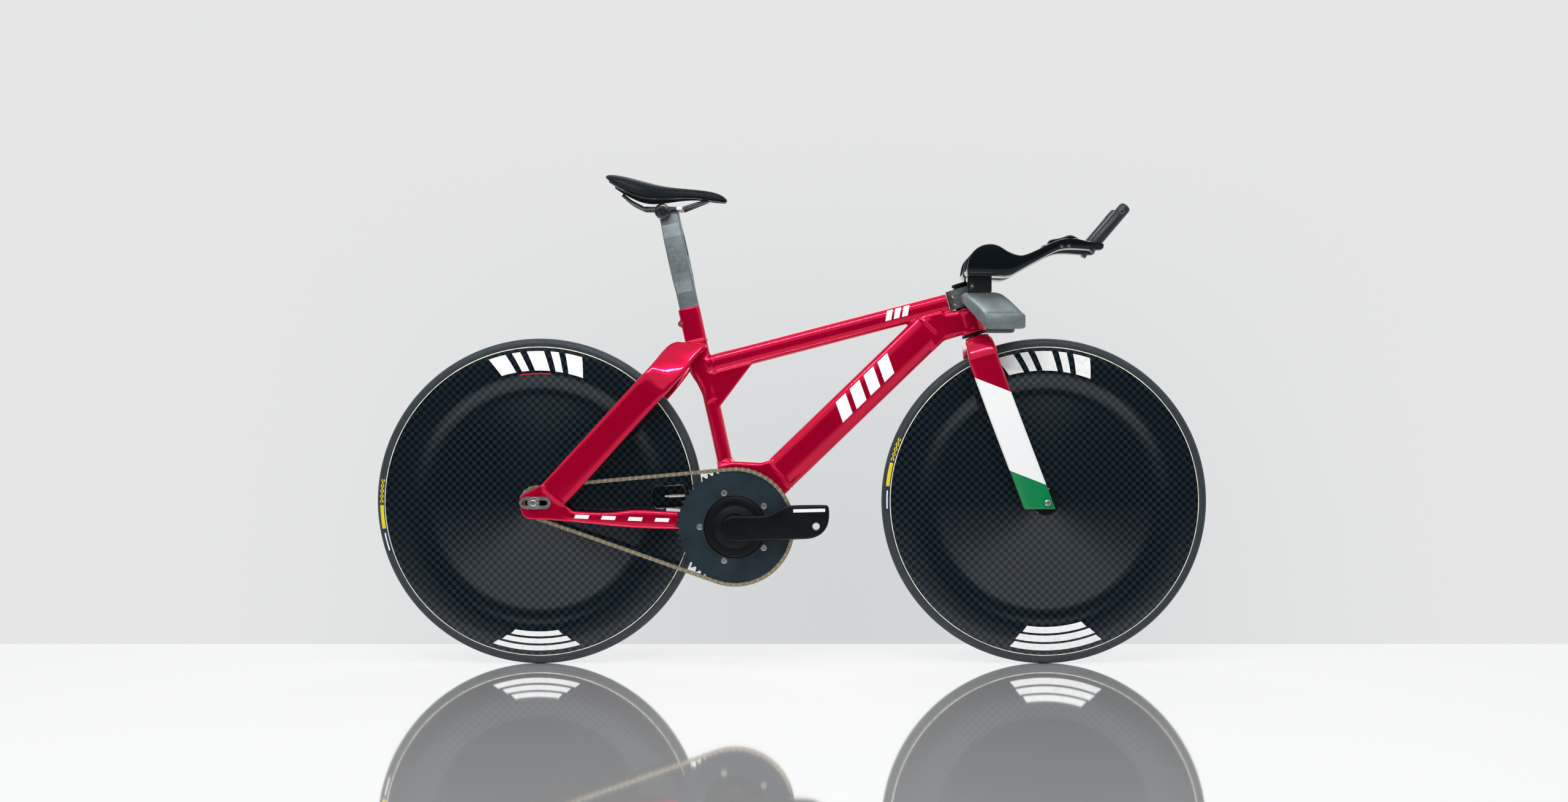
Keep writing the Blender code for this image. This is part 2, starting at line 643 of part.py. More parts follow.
def build_chainstay(name, side, paint):
    loops = []
    for ahead, bottom, top, distance, thickness in CHAINSTAY_ROWS:
        shape = rounded_section(top - bottom, thickness, 10, 5.0)
        middle = REAR_AXLE + Vector((ahead, side * distance, (top + bottom) / 2))
        loops.append([middle + Vector((0, s, a)) for a, s in shape])
    stay = finish("chainstay_" + name, loft(loops), paint)
    slot = slot_outline(-0.0235, 0.0275, SLOT_HEIGHT / 2)
    boolean(stay, cutter_from(extruded(slot, side * 0.05, side * 0.08), "slot_" + name))
    keep = rod(BRACKET, SIDEWAYS, SHELL_RADIUS + 2 * GAP, -0.05, 0.05, 24)
    boolean(stay, cutter_from(keep, "shell_clearance_" + name))
    return stay


def slot_outline(rear, front, half):
    """A slot with round ends, measured from the rear axle."""
    points = []
    for centre, start in ((front - half, -90), (rear + half, 90)):
        for i in range(7):
            angle = math.radians(start + 30 * i)
            points.append((REAR_AXLE.x + centre + half * math.cos(angle),
                           REAR_AXLE.z + half * math.sin(angle)))
    return points


def build_dropout_insert(name, side, steel):
    near = side * (0.0640 + DROPOUT_THICKNESS / 2 + GAP)
    plate = finish("dropout_insert_" + name, extruded(slot_outline(-0.0285, 0.0345, 0.0127), near,
                   near + side * INSERT_THICKNESS), steel)
    cut = extruded(slot_outline(-0.0235, 0.0275, SLOT_HEIGHT / 2), near - side * 0.01, near + side * 0.01)
    boolean(plate, cutter_from(cut, "insert_slot_" + name))


def build_seat_stay(name, side, paint):
    loops = []
    for up_x, up_z, low_x, low_z, distance, thickness in SEAT_STAY_ROWS:
        upper, lower = Vector((up_x, 0, up_z)), Vector((low_x, 0, low_z))
        across = (upper - lower).normalized()
        shape = rounded_section((upper - lower).length, thickness, 10, 5.0)
        middle = REAR_AXLE + (upper + lower) / 2 + Vector((0, side * distance, 0))
        loops.append([middle + across * a + Vector((0, s, 0)) for a, s in shape])
    finish("seat_stay_" + name, loft(loops), paint)


def build_rear_axle(steel):
    outer = 0.0640 + DROPOUT_THICKNESS / 2 + INSERT_THICKNESS + 2 * GAP
    finish("rear_axle", rod(REAR_AXLE, SIDEWAYS, AXLE_RADIUS, -outer - 0.0045, outer + 0.0045, 16), steel)
    for name, side in (("right", -1), ("left", 1)):
        near = side * (outer + GAP)
        bore = AXLE_RADIUS + GAP
        profile = [(0, near + side * 0.0055), (bore, near + side * 0.0055), (bore, near),
                   (AXLE_WASHER_RADIUS, near),
                   (AXLE_WASHER_RADIUS, near + side * 0.002), (AXLE_HEAD_RADIUS, near + side * 0.0022),
                   (AXLE_HEAD_RADIUS, near + side * 0.008),
                   (AXLE_HEAD_RADIUS - 0.0015, near + side * 0.0095),
                   (0, near + side * 0.0095)]
        finish("axle_nut_" + name, turned(profile, 12, closed=False, centre=REAR_AXLE), steel)


def pitch_radius(teeth):
    return CHAIN_PITCH / (2 * math.sin(math.pi / teeth))


def toothed_plate(teeth, bore, thickness, bore_sides):
    """A flat ring with chain teeth, centred on its own axis."""
    pitch = pitch_radius(teeth)
    form = bmesh.new()
    outline = []
    for i in range(teeth):
        for place, radius in ((0.0, pitch - TOOTH_ROOT), (0.38, pitch + TOOTH_HEIGHT),
                              (0.62, pitch + TOOTH_HEIGHT)):
            angle = 2 * math.pi * (i + place) / teeth
            outline.append((radius * math.cos(angle), radius * math.sin(angle)))
    hole = []
    for i in range(bore_sides):
        angle = 2 * math.pi * i / bore_sides
        hole.append((bore * math.cos(angle), bore * math.sin(angle)))
    loops = []
    for points in (outline, hole):
        ring = [form.verts.new((x, -thickness / 2, z)) for x, z in points]
        loops += [form.edges.new((ring[i], ring[(i + 1) % len(ring)])) for i in range(len(ring))]
    flat = bmesh.ops.triangle_fill(form, edges=loops, use_beauty=True)
    faces = [item for item in flat["geom"] if isinstance(item, bmesh.types.BMFace)]
    raised = bmesh.ops.extrude_face_region(form, geom=faces)
    points = [item for item in raised["geom"] if isinstance(item, bmesh.types.BMVert)]
    bmesh.ops.translate(form, verts=points, vec=(0, thickness, 0))
    return form


def bolt_places():
    for i in range(BOLT_COUNT):
        angle = FIRST_BOLT_ANGLE + 2 * math.pi * i / BOLT_COUNT
        yield i + 1, Vector((math.cos(angle), 0, math.sin(angle))) * BOLT_CIRCLE_RADIUS


def build_chainring(axis, metal):
    ring = finish("chainring", toothed_plate(RING_TEETH, RING_BORE_RADIUS, TOOTH_THICKNESS, 48), metal)
    for vertex in ring.data.vertices:
        vertex.co.y -= CHAIN_LINE
    for number, place in bolt_places():
        hole = rod(place, SIDEWAYS, BOLT_SHANK_RADIUS + GAP, -CHAIN_LINE - 0.01, -CHAIN_LINE + 0.01, 10)
        boolean(ring, hang_local(cutter_from(hole, "ring_hole_%d" % number), axis))
    return hang_local(ring, axis)


def build_ring_bolts(axis, steel):
    outer = -CHAIN_LINE - TOOTH_THICKNESS / 2 - GAP
    inner = -CHAIN_LINE + TOOTH_THICKNESS / 2 + SPIDER_THICKNESS + 2 * GAP
    for number, place in bolt_places():
        profile = [(0, outer - 0.0008), (0.0026, outer - 0.0022), (BOLT_HEAD_RADIUS, outer - 0.0018),
                   (BOLT_HEAD_RADIUS, outer), (BOLT_SHANK_RADIUS, outer), (BOLT_SHANK_RADIUS, inner),
                   (0, inner)]
        bolt = finish("chainring_bolt_%d" % number, turned(profile, 10, closed=False, centre=place), steel)
        hang_local(bolt, axis)


def crank_outline():
    """The blade of a crank: it widens towards the pedal and ends square, with rounded corners."""
    return [(-0.0190, 0.0170), (0.0, 0.0252), (0.0560, 0.0240), (0.0780, 0.0295), (0.1010, 0.0412),
            (0.1150, 0.0432), (0.1860, 0.0425), (0.1912, 0.0380), (0.1918, 0.0200), (0.1880, 0.0020),
            (0.1800, -0.0110), (0.1680, -0.0200), (0.1500, -0.0252), (0.0, -0.0270), (-0.0190, -0.0190),
            (-0.0262, 0.0)]


def build_crank(name, side, axis, metal):
    """One arm; the right one points ahead and carries the spider, the left one points back."""
    facing = -side
    turn = Matrix.Rotation(-CRANK_ANGLE, 3, "Y")

    def placed(x, y, z):
        return turn @ Vector((facing * x, y, z if side < 0 else -z))

    outer, inner = side * CRANK_OUTER_FACE, side * (CRANK_OUTER_FACE - CRANK_THICKNESS)
    outline = crank_outline()
    middle_x = sum(x for x, _ in outline) / len(outline)
    chamfer = 0.0035
    loops = []
    for y, inset in ((outer, chamfer), (outer - side * chamfer, 0), (inner + side * chamfer, 0),
                     (inner, chamfer)):
        loop = []
        for x, z in outline:
            pull = Vector((middle_x - x, -z)).normalized() * inset
            loop.append(placed(x + pull.x, y, z + pull.y))
        loops.append(loop)
    arm = finish("crank_arm_" + name, loft(loops), metal)
    boss_inner = side * (SHELL_WIDTH / 2 + CUP_FLANGE + 3 * GAP)
    boss = rod(Vector((0, 0, 0)), SIDEWAYS, CRANK_BOSS_RADIUS, *sorted((boss_inner, outer - side * 0.004)),
               24)
    boolean(arm, hang_local(cutter_from(boss, "boss_" + name), axis), "UNION")
    if side < 0:
        for number, spider in enumerate(spider_forms()):
            boolean(arm, hang_local(cutter_from(spider, "spider_%d" % number), axis), "UNION")
        for number, place in bolt_places():
            hole = rod(place, SIDEWAYS, BOLT_SHANK_RADIUS + GAP, -CHAIN_LINE - 0.002, -0.02, 10)
            boolean(arm, hang_local(cutter_from(hole, "spider_hole_%d" % number), axis))
    bore = rod(Vector((0, 0, 0)), SIDEWAYS, SPINDLE_RADIUS + GAP, *sorted((side * 0.02, side * 0.1)), 16)
    boolean(arm, hang_local(cutter_from(bore, "crank_bore_" + name), axis))
    pedal = placed(CRANK_LENGTH, 0, 0)
    thread = rod(pedal, SIDEWAYS, PEDAL_THREAD_RADIUS, *sorted((side * 0.05, side * 0.1)), 16)
    boolean(arm, hang_local(cutter_from(thread, "pedal_hole_" + name), axis))
    return hang_local(arm, axis)


def spider_forms():
    """The five arms behind the ring and the stepped hub in front of them."""
    near = -CHAIN_LINE + TOOTH_THICKNESS / 2 + GAP
    far = near + SPIDER_THICKNESS
    outline = []
    for number, _ in bolt_places():
        angle = FIRST_BOLT_ANGLE + 2 * math.pi * (number - 1) / BOLT_COUNT
        for shift, radius in ((-0.36, 0.052), (-0.125, 0.0795), (0.125, 0.0795), (0.36, 0.052)):
            outline.append((radius * math.cos(angle + shift), radius * math.sin(angle + shift)))
    yield extruded(outline, near, far)
    hub_front = near - 0.0018
    yield turned([(0.010, hub_front), (0.030, -0.0600), (0.043, -0.0500), (0.0445, hub_front - 0.0030),
                  (0.062, hub_front), (0.0628, near), (0.0628, far), (0.010, far)], 24)


def build_spindle(axis, steel):
    reach = CRANK_OUTER_FACE - 0.002
    spindle = turned([(0.006, -reach), (SPINDLE_RADIUS, -reach), (SPINDLE_RADIUS, reach), (0.006, reach)],
                     16)
    hang_local(finish("crank_spindle", spindle, steel), axis)


def chain_tangents():
    """Where the straight runs leave the ring and the sprocket: (ring, sprocket) for each run."""
    big, small = pitch_radius(RING_TEETH), pitch_radius(SPROCKET_TEETH)
    along = (REAR_AXLE - BRACKET).normalized()
    sine = (big - small) / (REAR_AXLE - BRACKET).length
    cosine = math.sqrt(1 - sine**2)
    for sign in (1, -1):
        out = Vector((-along.z, 0, along.x)) * -sign
        normal = along * sine + out * cosine
        yield BRACKET + normal * big, REAR_AXLE + normal * small, normal


def chain_path(offset, ring_steps=26, sprocket_steps=10):
    """The closed line of the chain, moved outwards by offset."""
    big, small = pitch_radius(RING_TEETH) + offset, pitch_radius(SPROCKET_TEETH) + offset
    (_, _, upper), (_, _, lower) = chain_tangents()
    start, end = math.atan2(upper.z, upper.x), math.atan2(lower.z, lower.x)
    points = []
    front_turn = (start - end) % (2 * math.pi)
    for i in range(ring_steps + 1):
        angle = start - front_turn * i / ring_steps
        points.append(BRACKET + Vector((math.cos(angle), 0, math.sin(angle))) * big)
    rear_turn = 2 * math.pi - front_turn
    for i in range(sprocket_steps + 1):
        angle = end - rear_turn * i / sprocket_steps
        points.append(REAR_AXLE + Vector((math.cos(angle), 0, math.sin(angle))) * small)
    return points


def build_chain(steel):
    """Side plates all the way round, held apart by rollers on the straight runs."""
    half = CHAIN_HEIGHT / 2
    outer, inner = chain_path(half), chain_path(-half)
    bands = []
    for side in (-1, 1):
        near, far = side * CHAIN_INNER_WIDTH / 2 - CHAIN_LINE, side * CHAIN_OUTER_WIDTH / 2 - CHAIN_LINE
        loops = [[a + Vector((0, near, 0)), b + Vector((0, near, 0)), b + Vector((0, far, 0)),
                  a + Vector((0, far, 0))] for a, b in zip(inner, outer)]
        bands.append(loft(loops, closed=True))
    chain = finish("chain", bands[0], steel)
    boolean(chain, cutter_from(bands[1], "outer_band"), "UNION")
    reach = CHAIN_INNER_WIDTH / 2 + 0.0006
    number = 0
    for ring_point, sprocket_point, _ in chain_tangents():
        run = sprocket_point - ring_point
        for i in range(ROLLERS_PER_RUN):
            place = ring_point + run * (0.12 + 0.76 * i / (ROLLERS_PER_RUN - 1))
            roller = rod(place, SIDEWAYS, ROLLER_RADIUS, -CHAIN_LINE - reach, -CHAIN_LINE + reach, 8)
            number += 1
            boolean(chain, cutter_from(roller, "roller_%d" % number), "UNION")


def tyre_bed():
    """Two corners of the bed that the tyre lies in, a gap away from it: (radius, half width)."""
    corner = (TYRE_WIDTH / 2 + GAP) / math.cos(math.pi / TYRE_SIDES)
    points = []
    for step in (2, 1):
        angle = math.pi - math.pi / TYRE_SIDES * (2 * step - 1)
        points.append((WHEEL_RADIUS - TYRE_WIDTH / 2 + corner * math.cos(angle), corner * math.sin(angle)))
    return points


def disc_profile(side):
    """One half of the disc, from its edge to the hub and back inside to the tyre bed."""
    skin = DISC_SKIN
    (high_radius, high_width), (low_radius, low_width) = tyre_bed()
    lip = high_width + 0.55 * (DISC_EDGE_RADIUS - high_radius)
    outer = [(DISC_EDGE_RADIUS, DISC_EDGE_HALF_WIDTH), (DISC_CREST_RADIUS + 0.024, DISC_CREST_HALF_WIDTH),
             (DISC_CREST_RADIUS - 0.006, DISC_CREST_HALF_WIDTH - 0.0003),
             (DISC_VALLEY_RADIUS + 0.010, DISC_VALLEY_HALF_WIDTH + 0.0004),
             (DISC_VALLEY_RADIUS, DISC_VALLEY_HALF_WIDTH),
             (DISC_HUB_RADIUS, DISC_HUB_HALF_WIDTH)]
    inner = [(DISC_HUB_RADIUS, DISC_HUB_HALF_WIDTH - skin),
             (DISC_VALLEY_RADIUS, DISC_VALLEY_HALF_WIDTH - skin),
             (DISC_VALLEY_RADIUS + 0.041, DISC_CREST_HALF_WIDTH - 0.0025), (low_radius - RIM_BED, 0.0098),
             (low_radius - RIM_BED, GAP / 2)]
    floor = [(low_radius, GAP / 2), (low_radius, low_width), (high_radius, high_width),
             (DISC_EDGE_RADIUS, lip)]
    return [(radius, side * width) for radius, width in outer + inner + floor]


def build_wheel_body(prefix, axis, rubber, carbon):
    centre = WHEEL_RADIUS - TYRE_WIDTH / 2
    reach = TYRE_WIDTH / 2 / math.cos(math.pi / TYRE_SIDES)
    section = []
    for i in range(TYRE_SIDES):
        angle = math.pi / TYRE_SIDES * (2 * i + 1)
        section.append((centre + reach * math.cos(angle), reach * math.sin(angle)))
    hang_local(finish(prefix + "_tyre", turned(section, WHEEL_SEGMENTS), rubber), axis)
    halves = {}
    for name, side in (("right", -1), ("left", 1)):
        half = finish(prefix + "_disc_" + name, turned(disc_profile(side), WHEEL_SEGMENTS), carbon)
        halves[name] = hang_local(half, axis)
    return halves


def hub_profile(faces, cap_radius):
    """A hub shell with its flange inside the disc, necks outside it and end caps."""
    inside = DISC_HUB_HALF_WIDTH + 0.0006
    bore = AXLE_RADIUS + RUNNING_GAP
    core = (DISC_HUB_RADIUS - GAP) * math.cos(math.pi / HUB_SEGMENTS)
    face = faces / 2 - GAP
    return [(bore, -face), (cap_radius, -face), (cap_radius, -face + 0.004),
            (HUB_NECK_RADIUS, -face + 0.006),
            (HUB_NECK_RADIUS, -inside), (core, -inside), (core, inside), (HUB_NECK_RADIUS, inside),
            (HUB_NECK_RADIUS, face - 0.006), (cap_radius, face - 0.004), (cap_radius, face), (bore, face)]


def build_rear_wheel(axis, rubber, carbon, metal, steel):
    halves = build_wheel_body("rear", axis, rubber, carbon)
    hub = turned(hub_profile(REAR_SPACING, HUB_NECK_RADIUS - 0.003), HUB_SEGMENTS)
    hang_local(finish("rear_hub", hub, metal), axis)
    sprocket = toothed_plate(SPROCKET_TEETH, HUB_NECK_RADIUS / math.cos(math.pi / HUB_SEGMENTS) + 3 * GAP,
                             TOOTH_THICKNESS, HUB_SEGMENTS)
    bmesh.ops.translate(sprocket, verts=sprocket.verts, vec=(0, -CHAIN_LINE, 0))
    hang_local(finish("sprocket", sprocket, steel), axis)
    low = -CHAIN_LINE - TOOTH_THICKNESS / 2 - GAP
    ring = turned(ring_profile(HUB_NECK_RADIUS + GAP, 0.0215, low - 0.0045, low), HUB_SEGMENTS)
    hang_local(finish("sprocket_lockring", ring, steel), axis)
    out = Vector((math.cos(VALVE_ANGLE), 0, math.sin(VALVE_ANGLE)))
    top = tyre_bed()[1][0] - RIM_BED - GAP
    tip = top - VALVE_LENGTH
    profile = [(0, tip - 0.008), (0.0022, tip - 0.008), (0.0022, tip), (VALVE_RADIUS, tip),
               (VALVE_RADIUS, top),
               (0, top)]
    valve = turned(profile, 10, closed=False, axis=out)
    hang_local(finish("rear_valve", valve, steel), axis)
    corner = 0.010
    outline = []
    for ahead, rise, start in ((1, 1, 0), (-1, 1, 90), (-1, -1, 180), (1, -1, 270)):
        for i in range(4):
            angle = math.radians(start + 30 * i)
            across = ahead * (WINDOW_LENGTH / 2 - corner) + corner * math.cos(angle)
            upward = rise * (WINDOW_HEIGHT / 2 - corner) + corner * math.sin(angle)
            outline.append((WINDOW_CENTRE_RADIUS + across, upward))
    window = finish("valve_window", extruded(outline, -0.03, -0.001), CUTTER_MATERIAL)
    hang_local(window, axis)
    window.rotation_euler = (0, -VALVE_ANGLE, 0)
    boolean(halves["right"], window)


def build_front_wheel(axis, rubber, carbon, metal):
    build_wheel_body("front", axis, rubber, carbon)
    hub = turned(hub_profile(FRONT_SPACING, FRONT_HUB_CAP_RADIUS), HUB_SEGMENTS)
    hang_local(finish("front_hub", hub, metal), axis)


# The fork's path in front view and side view: side distance, rise, ahead, depth and thickness
def fork_rows():
    outer = FORK_OUTER_HALF_WIDTH
    return ((CROWN_END, CROWN_END_RISE, 0.000, 2 * CROWN_HALF_DEPTH + 0.002, 0.0240, CROWN_END_LEAN),
            (0.0585, -0.0250, -0.0005, 0.0580, 0.0190, 30),
            (outer - 0.0095, -0.0400, -0.0015, FORK_BLADE_DEPTH, 0.0165, 10),
            (outer - 0.0080, -0.0620, -0.0025, FORK_BLADE_DEPTH, FORK_BLADE_THICKNESS, 2),
            (outer - 0.0100, -0.1800, 0.0055, FORK_BLADE_DEPTH, FORK_BLADE_THICKNESS - 0.001, 1),
            (0.0580, -0.3000, 0.0155, FORK_BLADE_DEPTH, 0.0120, 1),
            (0.0556, -0.3640, 0.0205, FORK_BLADE_DEPTH, FORK_TIP_THICKNESS, 0),
            (0.0556, -0.3990, 0.0235, FORK_BLADE_DEPTH, FORK_TIP_THICKNESS, 0))


def build_crown(paint, axis):
    """The crown's arch with the steerer tube standing on it."""
    loops = []
    for side in (-1, -0.4, 0, 0.4, 1):
        end = abs(side) == 1
        lean = math.radians(CROWN_END_LEAN if end else 90)
        shape = rounded_section(2 * CROWN_HALF_DEPTH + (0.002 if end else 0),
                                CROWN_THICKNESS - (0.002 if end else 0),
                                12, 4.0)
        rise = CROWN_END_RISE if end else CROWN_TOP - CROWN_THICKNESS / 2
        loops.append([steer_point(a, rise + s * math.sin(lean), side * (CROWN_END + s * math.cos(lean)))
                      for a, s in shape])
    crown = finish("fork_crown", loft(loops), paint)
    tube = rod(CROWN_DATUM, STEER_UP, STEERER_RADIUS, CROWN_TOP - 0.004, STEM_TOP - 0.001, 24)
    boolean(crown, cutter_from(tube, "steerer"), "UNION")
    hollow = rod(CROWN_DATUM, STEER_UP, STEERER_RADIUS - STEERER_WALL, CROWN_TOP - 0.002, STEM_TOP + 0.01,
                 16)
    boolean(crown, cutter_from(hollow, "steerer_bore"))
    return hang(crown, axis)


def build_fork_blade(name, side, paint, axis):
    loops = []
    for distance, rise, ahead, depth, thickness, lean in fork_rows():
        shape = rounded_section(depth, thickness, 12, 4.0)
        angle = math.radians(lean)
        loops.append([steer_point(ahead + a, rise + s * math.sin(angle),
                                  side * (distance + s * math.cos(angle)))
                      for a, s in shape])
    form = loft(loops)
    trim(form, Vector((0, 0, WHEEL_RADIUS - 0.0135)), Vector((0, 0, -1)))
    blade = finish("fork_blade_" + name, form, paint)
    hole = rod(FRONT_AXLE, SIDEWAYS, AXLE_RADIUS + GAP, *sorted((side * 0.04, side * 0.09)), 16)
    boolean(blade, cutter_from(hole, "axle_hole_" + name))
    blade.location += SIDEWAYS * side * GAP * 1.5
    return hang(blade, axis)


def build_front_axle(steel, axis):
    outer = FRONT_SPACING / 2 + FORK_TIP_THICKNESS + 0.0012
    profile = [(0, -outer - 0.0055), (0.0045, -outer - 0.0055), (0.0060, -outer - 0.0045),
               (0.0065, -outer - 0.001),
               (0.0065, -outer), (AXLE_RADIUS, -outer), (AXLE_RADIUS, outer + 0.004), (0, outer + 0.004)]
    hang(finish("front_axle", turned(profile, 16, closed=False, centre=FRONT_AXLE), steel), axis)
    nut = turned(ring_profile(AXLE_RADIUS + GAP, 0.0080, outer, outer + 0.005), 16, centre=FRONT_AXLE)
    hang(finish("front_axle_nut", nut, steel), axis)


def build_stem(metal, steel, axis):
    half, chamfer = STEM_HALF_WIDTH, STEM_CORNER
    plan = [(-STEM_REAR, -half + chamfer), (-STEM_REAR + chamfer, -half), (STEM_FRONT, -half),
            (STEM_FRONT, half),
            (-STEM_REAR + chamfer, half), (-STEM_REAR, half - chamfer)]
    loops = [[steer_point(a, rise, s) for a, s in plan] for rise in (STEM_BOTTOM, STEM_TOP)]
    stem = finish("stem", loft(loops), metal)
    bore = rod(CROWN_DATUM, STEER_UP, STEERER_RADIUS + GAP, STEM_BOTTOM - 0.01, STEM_TOP + 0.01, 24)
    boolean(stem, cutter_from(bore, "stem_bore"))
    slit = [[steer_point(a, rise, s) for a, s in ((-0.05, -0.001), (-0.01, -0.001), (-0.01, 0.001),
                                                  (-0.05, 0.001))]
            for rise in (STEM_BOTTOM - 0.01, STEM_TOP + 0.01)]
    boolean(stem, cutter_from(loft(slit), "stem_slit"))
    hang(stem, axis)
    for name, rise in (("lower", STEM_BOTTOM + 0.0105), ("upper", STEM_TOP - 0.0120)):
        place = steer_point(-0.0225, rise)
        hole = rod(place, SIDEWAYS, 0.0025 + GAP, -0.03, 0.0145, 12)
        sink = rod(place, SIDEWAYS, 0.0042 + GAP, -0.03, -half + 0.0045, 12)
        boolean(stem, cutter_from(hole, "stem_hole_" + name))
        boolean(stem, cutter_from(sink, "stem_sink_" + name))
        profile = [(0, -half + 0.0010), (0.0022, -half + 0.0010), (0.0022, -half - 0.0002),
                   (0.0042, -half - 0.0002),
                   (0.0042, -half + 0.0042), (0.0025, -half + 0.0042), (0.0025, 0.0140), (0, 0.0140)]
        bolt = turned(profile, 12, closed=False, centre=place)
        hang(finish("stem_bolt_" + name, bolt, steel), axis)
    cap = turned([(0, STEM_TOP + GAP), (TOP_CAP_RADIUS - 0.0015, STEM_TOP + GAP),
                  (TOP_CAP_RADIUS - 0.0015, STEM_TOP + 0.005), (TOP_CAP_RADIUS, STEM_TOP + 0.005),
                  (TOP_CAP_RADIUS, STEM_TOP + TOP_CAP_HEIGHT - 0.0015),
                  (TOP_CAP_RADIUS - 0.0015, STEM_TOP + TOP_CAP_HEIGHT), (0, STEM_TOP + TOP_CAP_HEIGHT)],
                 20, closed=False, centre=CROWN_DATUM, axis=STEER_UP)
    hang(finish("top_cap", cap, TRIM_MATERIAL), axis)


def bar_rows():
    """The base bar from its middle to its tip: side distance, rear edge, front edge, bottom and top."""
    return ((0.000, -0.0324, 0.0441, 0.0612, 0.0882),
            (0.040, -0.0324, 0.0446, 0.0612, 0.0882),
            (BAR_FLAT_HALF_WIDTH, -0.0279, 0.0501, 0.0572, 0.0877),
            (0.072, -0.0179, 0.0611, 0.0442, 0.0782),
            (0.082, -0.0039, 0.0751, 0.0282, 0.0652),
            (0.091, 0.0091, 0.0871, 0.0152, 0.0492),
            (0.0955, 0.0111, 0.0926, 0.0112, 0.0412),
            (BAR_TIP_HALF_WIDTH, 0.0131, 0.0911, 0.0132, 0.0392))


def build_base_bar(metal, axis):
    rows = bar_rows()
    loops = []
    for side, row in [(-1, r) for r in reversed(rows[1:])] + [(1, r) for r in rows]:
        distance, rear, front, bottom, top = row
        shape = rounded_section(front - rear, top - bottom, 16, 3.6)
        middle, height = (front + rear) / 2, (top + bottom) / 2
        loops.append([bar_point(middle + a, height + s, side * distance) for a, s in shape])
    bar = finish("base_bar", loft(loops), metal)
    front, half = STEM_FRONT + GAP, STEM_HALF_WIDTH + GAP
    notch = [[steer_point(a, rise, s) for a, s in ((-0.06, -half), (front, -half), (front, half),
                                                   (-0.06, half))]
             for rise in (STEM_BOTTOM - 0.02, STEM_TOP + 0.03)]
    boolean(bar, cutter_from(loft(notch), "stem_notch"))
    swing = rod(CROWN_DATUM, STEER_UP, HEAD_TUBE_RADIUS + 0.0015, STEM_BOTTOM - 0.03, STEM_BOTTOM, 24)
    boolean(bar, cutter_from(swing, "head_tube_clearance"))
    hang(bar, axis)


def build_riser(metal, axis):
    """The block that carries both forearm rests, notched round the top cap."""
    low = bar_rows()[0][-1] + GAP
    high = low + RISER_HEIGHT
    rear, front, notch = -0.0209, 0.0281, -0.0024
    inner, outer = 0.024, 0.061
    plan = [(rear, -outer), (front, -outer), (front, outer), (rear, outer), (rear, inner), (notch, inner),
            (notch, -inner), (rear, -inner)]
    loops = [[bar_point(x, z, y) for x, y in plan] for z in (low, high)]
    hang(finish("riser_block", loft(loops), metal), axis)


def arm_rows():
    """The forearm rest: ahead, underside, rim, channel floor and half width."""
    return ((-0.0249, 0.1262, 0.1292, 0.1277, 0.036), (-0.0209, 0.1197, 0.1512, 0.1272, 0.043),
            (-0.0079, 0.1190, 0.1702, 0.1262, 0.046), (0.0101, 0.1190, 0.1812, 0.1257, 0.047),
            (0.0281, 0.1190, 0.1822, 0.1257, 0.046), (0.0306, 0.0932, 0.1812, 0.1257, 0.0455),
            (0.0441, 0.1002, 0.1762, 0.1267, 0.042), (0.0671, 0.1177, 0.1637, 0.1332, 0.036),
            (0.0911, 0.1332, 0.1602, 0.1422, 0.030), (0.1131, 0.1462, 0.1702, 0.1522, 0.026),
            (0.1381, 0.1597, 0.1827, 0.1657, 0.024), (0.1631, 0.1717, 0.1922, 0.1777, 0.0225),
            (0.1831, 0.1747, 0.1962, 0.1807, 0.022), (0.2031, 0.1742, 0.1942, 0.1807, 0.020),
            (0.2231, 0.1727, 0.1892, 0.1802, 0.018), (0.2431, 0.1717, 0.1867, 0.1807, 0.016),
            (0.2541, 0.1772, 0.1847, 0.1827, 0.0125))


def arm_section(ahead, under, rim, floor, half, side):
    """Across one forearm rest: a trough with a rounded underside."""
    wall = ARM_WALL
    deep = min(floor - under, 0.012)
    points = [(-half, rim), (-half, under + deep), (-half * 0.72, under), (half * 0.72, under),
              (half, under + deep),
              (half, rim), (half - wall, rim), (half - wall, floor + 0.30 * (rim - floor)),
              (half * 0.55, floor), (-half * 0.55, floor), (-half + wall, floor + 0.30 * (rim - floor)),
              (-half + wall, rim)]
    return [bar_point(ahead, z, side * ARM_SPREAD + y) for y, z in points]


def build_arm(name, side, carbon, foam, axis):
    """A forearm rest whose front end rises into the hand grip, and the pad inside it."""
    arm = finish("forearm_rest_" + name, loft([arm_section(*row, side) for row in arm_rows()]), carbon)
    foot = bar_point(0.2277, 0.1765, side * ARM_SPREAD)
    rise = Vector((math.cos(GRIP_SLOPE), 0, math.sin(GRIP_SLOPE)))
    profile = [(0, -0.004), (GRIP_RADIUS, -0.004), (GRIP_RADIUS, GRIP_LENGTH - 0.004),
               (GRIP_RADIUS - 0.003, GRIP_LENGTH), (0, GRIP_LENGTH + 0.001)]
    grip = turned(profile, 16, closed=False, centre=foot, axis=rise)
    boolean(arm, cutter_from(grip, "grip_" + name), "UNION")
    hang(arm, axis)
    rows = arm_rows()[2:9]
    loops = []
    for ahead, under, rim, floor, half in rows:
        half_pad = half * 0.53
        base, height = floor + 2 * GAP, ARM_PAD
        loops.append([bar_point(ahead, z, side * ARM_SPREAD + y) for y, z in
                      ((-half_pad, base), (half_pad, base), (half_pad, base + height * 0.7),
                       (half_pad * 0.7, base + height), (-half_pad * 0.7, base + height),
                       (-half_pad, base + height * 0.7))])
    hang(finish("arm_pad_" + name, loft(loops), foam), axis)


